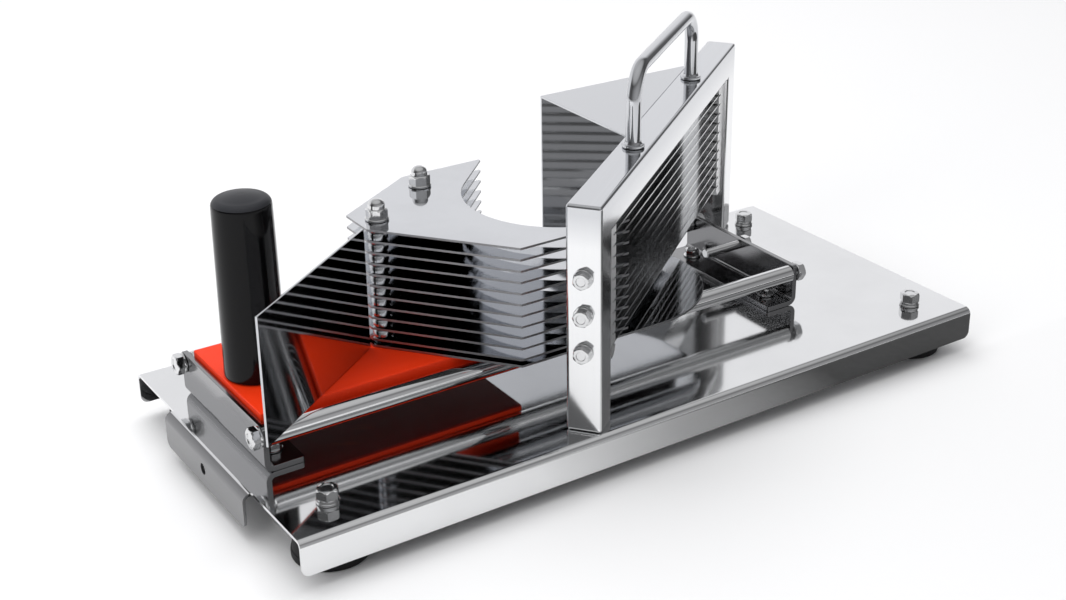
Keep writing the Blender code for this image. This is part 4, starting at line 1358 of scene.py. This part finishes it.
class SLICER_OT_stage(bpy.types.Operator):
    """Pale floor, soft studio light and the camera"""

    bl_idname = "slicer.stage"
    bl_label = "Stage"

    def execute(self, context):
        stage = context.scene.slicer_stage
        bm = bmesh.new()
        bmesh.ops.create_grid(bm, x_segments=2, y_segments=2, size=6.0)
        floor = to_object("floor", bm, floor_paint("floor_paint"))
        floor.location = (0, 0, CAD_LOW.z - 0.0002)
        self.world()
        self.softbox("overhead_softbox", (-0.1, 0.6, 2.4), (0.1, 0.2, 0.0), (3.0, 2.6), stage.key)
        self.softbox("side_softbox", (-1.5, -0.6, 0.9), (0.0, 0.0, 0.05), (0.8, 1.2), stage.side)
        self.flag("front_flag", (-0.08, -0.45), (0.60, -0.104))
        self.camera(stage)
        context.scene.view_settings.view_transform = "Standard"
        return {"FINISHED"}

    def world(self):
        """Studio: a bright backdrop beyond the object, a pale ceiling and a dim room on the near side."""
        world = bpy.data.worlds.new("studio")
        world.use_nodes = True
        bpy.context.scene.world = world
        nodes = world.node_tree.nodes
        links = world.node_tree.links
        position = nodes.new("ShaderNodeTexCoord")
        split = nodes.new("ShaderNodeSeparateXYZ")
        links.new(position.outputs["Generated"], split.inputs[0])
        height = self.levels(world, split.outputs["Z"], ((0.0, 1.0), (0.45, 0.95), (0.70, 0.55), (1.0, 0.9)))
        behind = nodes.new("ShaderNodeMapRange")
        behind.inputs["From Min"].default_value = -1.0
        links.new(split.outputs["Y"], behind.inputs["Value"])
        near_to_far = ((0.0, 0.45), (0.40, 0.10), (0.67, 0.14), (0.79, 1.0))
        depth = self.levels(world, behind.outputs["Result"], near_to_far)
        walls = self.blend(world, "MULTIPLY", height, depth)
        ceiling = self.levels(world, split.outputs["Z"], ((0.0, 0.0), (0.55, 0.0), (0.8, 0.5), (1.0, 0.62)))
        mixed = self.blend(world, "LIGHTEN", walls, ceiling)
        links.new(mixed, nodes["Background"].inputs["Color"])
        nodes["Background"].inputs["Strength"].default_value = bpy.context.scene.slicer_stage.walls

    def blend(self, world, kind, first, second):
        node = world.node_tree.nodes.new("ShaderNodeMix")
        node.data_type = "RGBA"
        node.blend_type = kind
        node.inputs["Factor"].default_value = 1.0
        colours = [socket for socket in node.inputs if socket.type == "RGBA"]
        for colour, socket in zip((first, second), colours):
            world.node_tree.links.new(colour, socket)
        return next(socket for socket in node.outputs if socket.type == "RGBA")

    def levels(self, world, value, stops):
        ramp = world.node_tree.nodes.new("ShaderNodeValToRGB")
        set_stops(ramp.color_ramp, stops, 1.01)
        world.node_tree.links.new(value, ramp.inputs["Fac"])
        return ramp.outputs["Color"]

    def softbox(self, name, place, target, size, power):
        light = bpy.data.lights.new(name, "AREA")
        light.shape = "RECTANGLE"
        light.size, light.size_y = size
        light.energy = power
        made = bpy.data.objects.new(name, light)
        made.visible_glossy = False
        made.location = place
        made.rotation_euler = (Vector(target) - Vector(place)).to_track_quat("-Z", "Y").to_euler()
        bpy.context.scene.collection.objects.link(made)

    def flag(self, name, near_left, far_right):
        """A black card on the floor that is seen only as a reflection."""
        (left, near), (right, far) = near_left, far_right
        height = CAD_LOW.z
        bm = bmesh.new()
        corners = ((left, near, height), (right, near, height), (right, far, height), (left, far, height))
        bm.faces.new([bm.verts.new(point) for point in corners])
        card = to_object(name, bm, flag_cloth("flag_cloth"))
        card.visible_camera = False
        card.visible_diffuse = False
        card.visible_shadow = False

    def camera(self, stage):
        data = bpy.data.cameras.new("camera")
        data.lens = stage.lens
        data.sensor_width = 36.0
        data.shift_x = stage.shift_x
        data.shift_y = stage.shift_y
        camera = bpy.data.objects.new("camera", data)
        camera.location = stage.camera_place
        camera.rotation_euler = stage.camera_turn
        bpy.context.scene.collection.objects.link(camera)
        bpy.context.scene.camera = camera


# ---------------------------------------------------------------- add-on


OPERATORS = (
    SLICER_OT_base, SLICER_OT_rails, SLICER_OT_blade_frame, SLICER_OT_blades, SLICER_OT_rear_guard,
    SLICER_OT_slide_board, SLICER_OT_fins, SLICER_OT_hand_guard, SLICER_OT_push_handle, SLICER_OT_stage,
)


class SLICER_PT_panel(bpy.types.Panel):
    """Lists the slicer's settings and pieces"""

    bl_idname = "SLICER_PT_panel"
    bl_label = "Vegetable slicer"
    bl_space_type = "VIEW_3D"
    bl_region_type = "UI"
    bl_category = "Slicer"

    def draw(self, context):
        scene = context.scene
        for settings in (scene.slicer_steel, scene.slicer_plastic, scene.slicer_sizes, scene.slicer_stage):
            column = self.layout.column(align=True)
            for name in settings.__annotations__:
                column.prop(settings, name)
        for operator in OPERATORS:
            self.layout.operator(operator.bl_idname)


GROUPS = {
    "slicer_steel": SlicerSteel,
    "slicer_plastic": SlicerPlastic,
    "slicer_sizes": SlicerSizes,
    "slicer_stage": SlicerStage,
}


def register():
    for name, group in GROUPS.items():
        bpy.utils.register_class(group)
        setattr(bpy.types.Scene, name, PointerProperty(type=group))
    for operator in OPERATORS:
        bpy.utils.register_class(operator)
    bpy.utils.register_class(SLICER_PT_panel)


def unregister():
    bpy.utils.unregister_class(SLICER_PT_panel)
    for operator in reversed(OPERATORS):
        bpy.utils.unregister_class(operator)
    for name, group in GROUPS.items():
        delattr(bpy.types.Scene, name)
        bpy.utils.unregister_class(group)


def main():
    register()
    bpy.ops.slicer.base()
    bpy.ops.slicer.rails()
    bpy.ops.slicer.blade_frame()
    bpy.ops.slicer.blades()
    bpy.ops.slicer.rear_guard()
    bpy.ops.slicer.slide_board()
    bpy.ops.slicer.fins()
    bpy.ops.slicer.hand_guard()
    bpy.ops.slicer.push_handle()
    bpy.ops.slicer.stage()


if __name__ == "__main__":
    main()
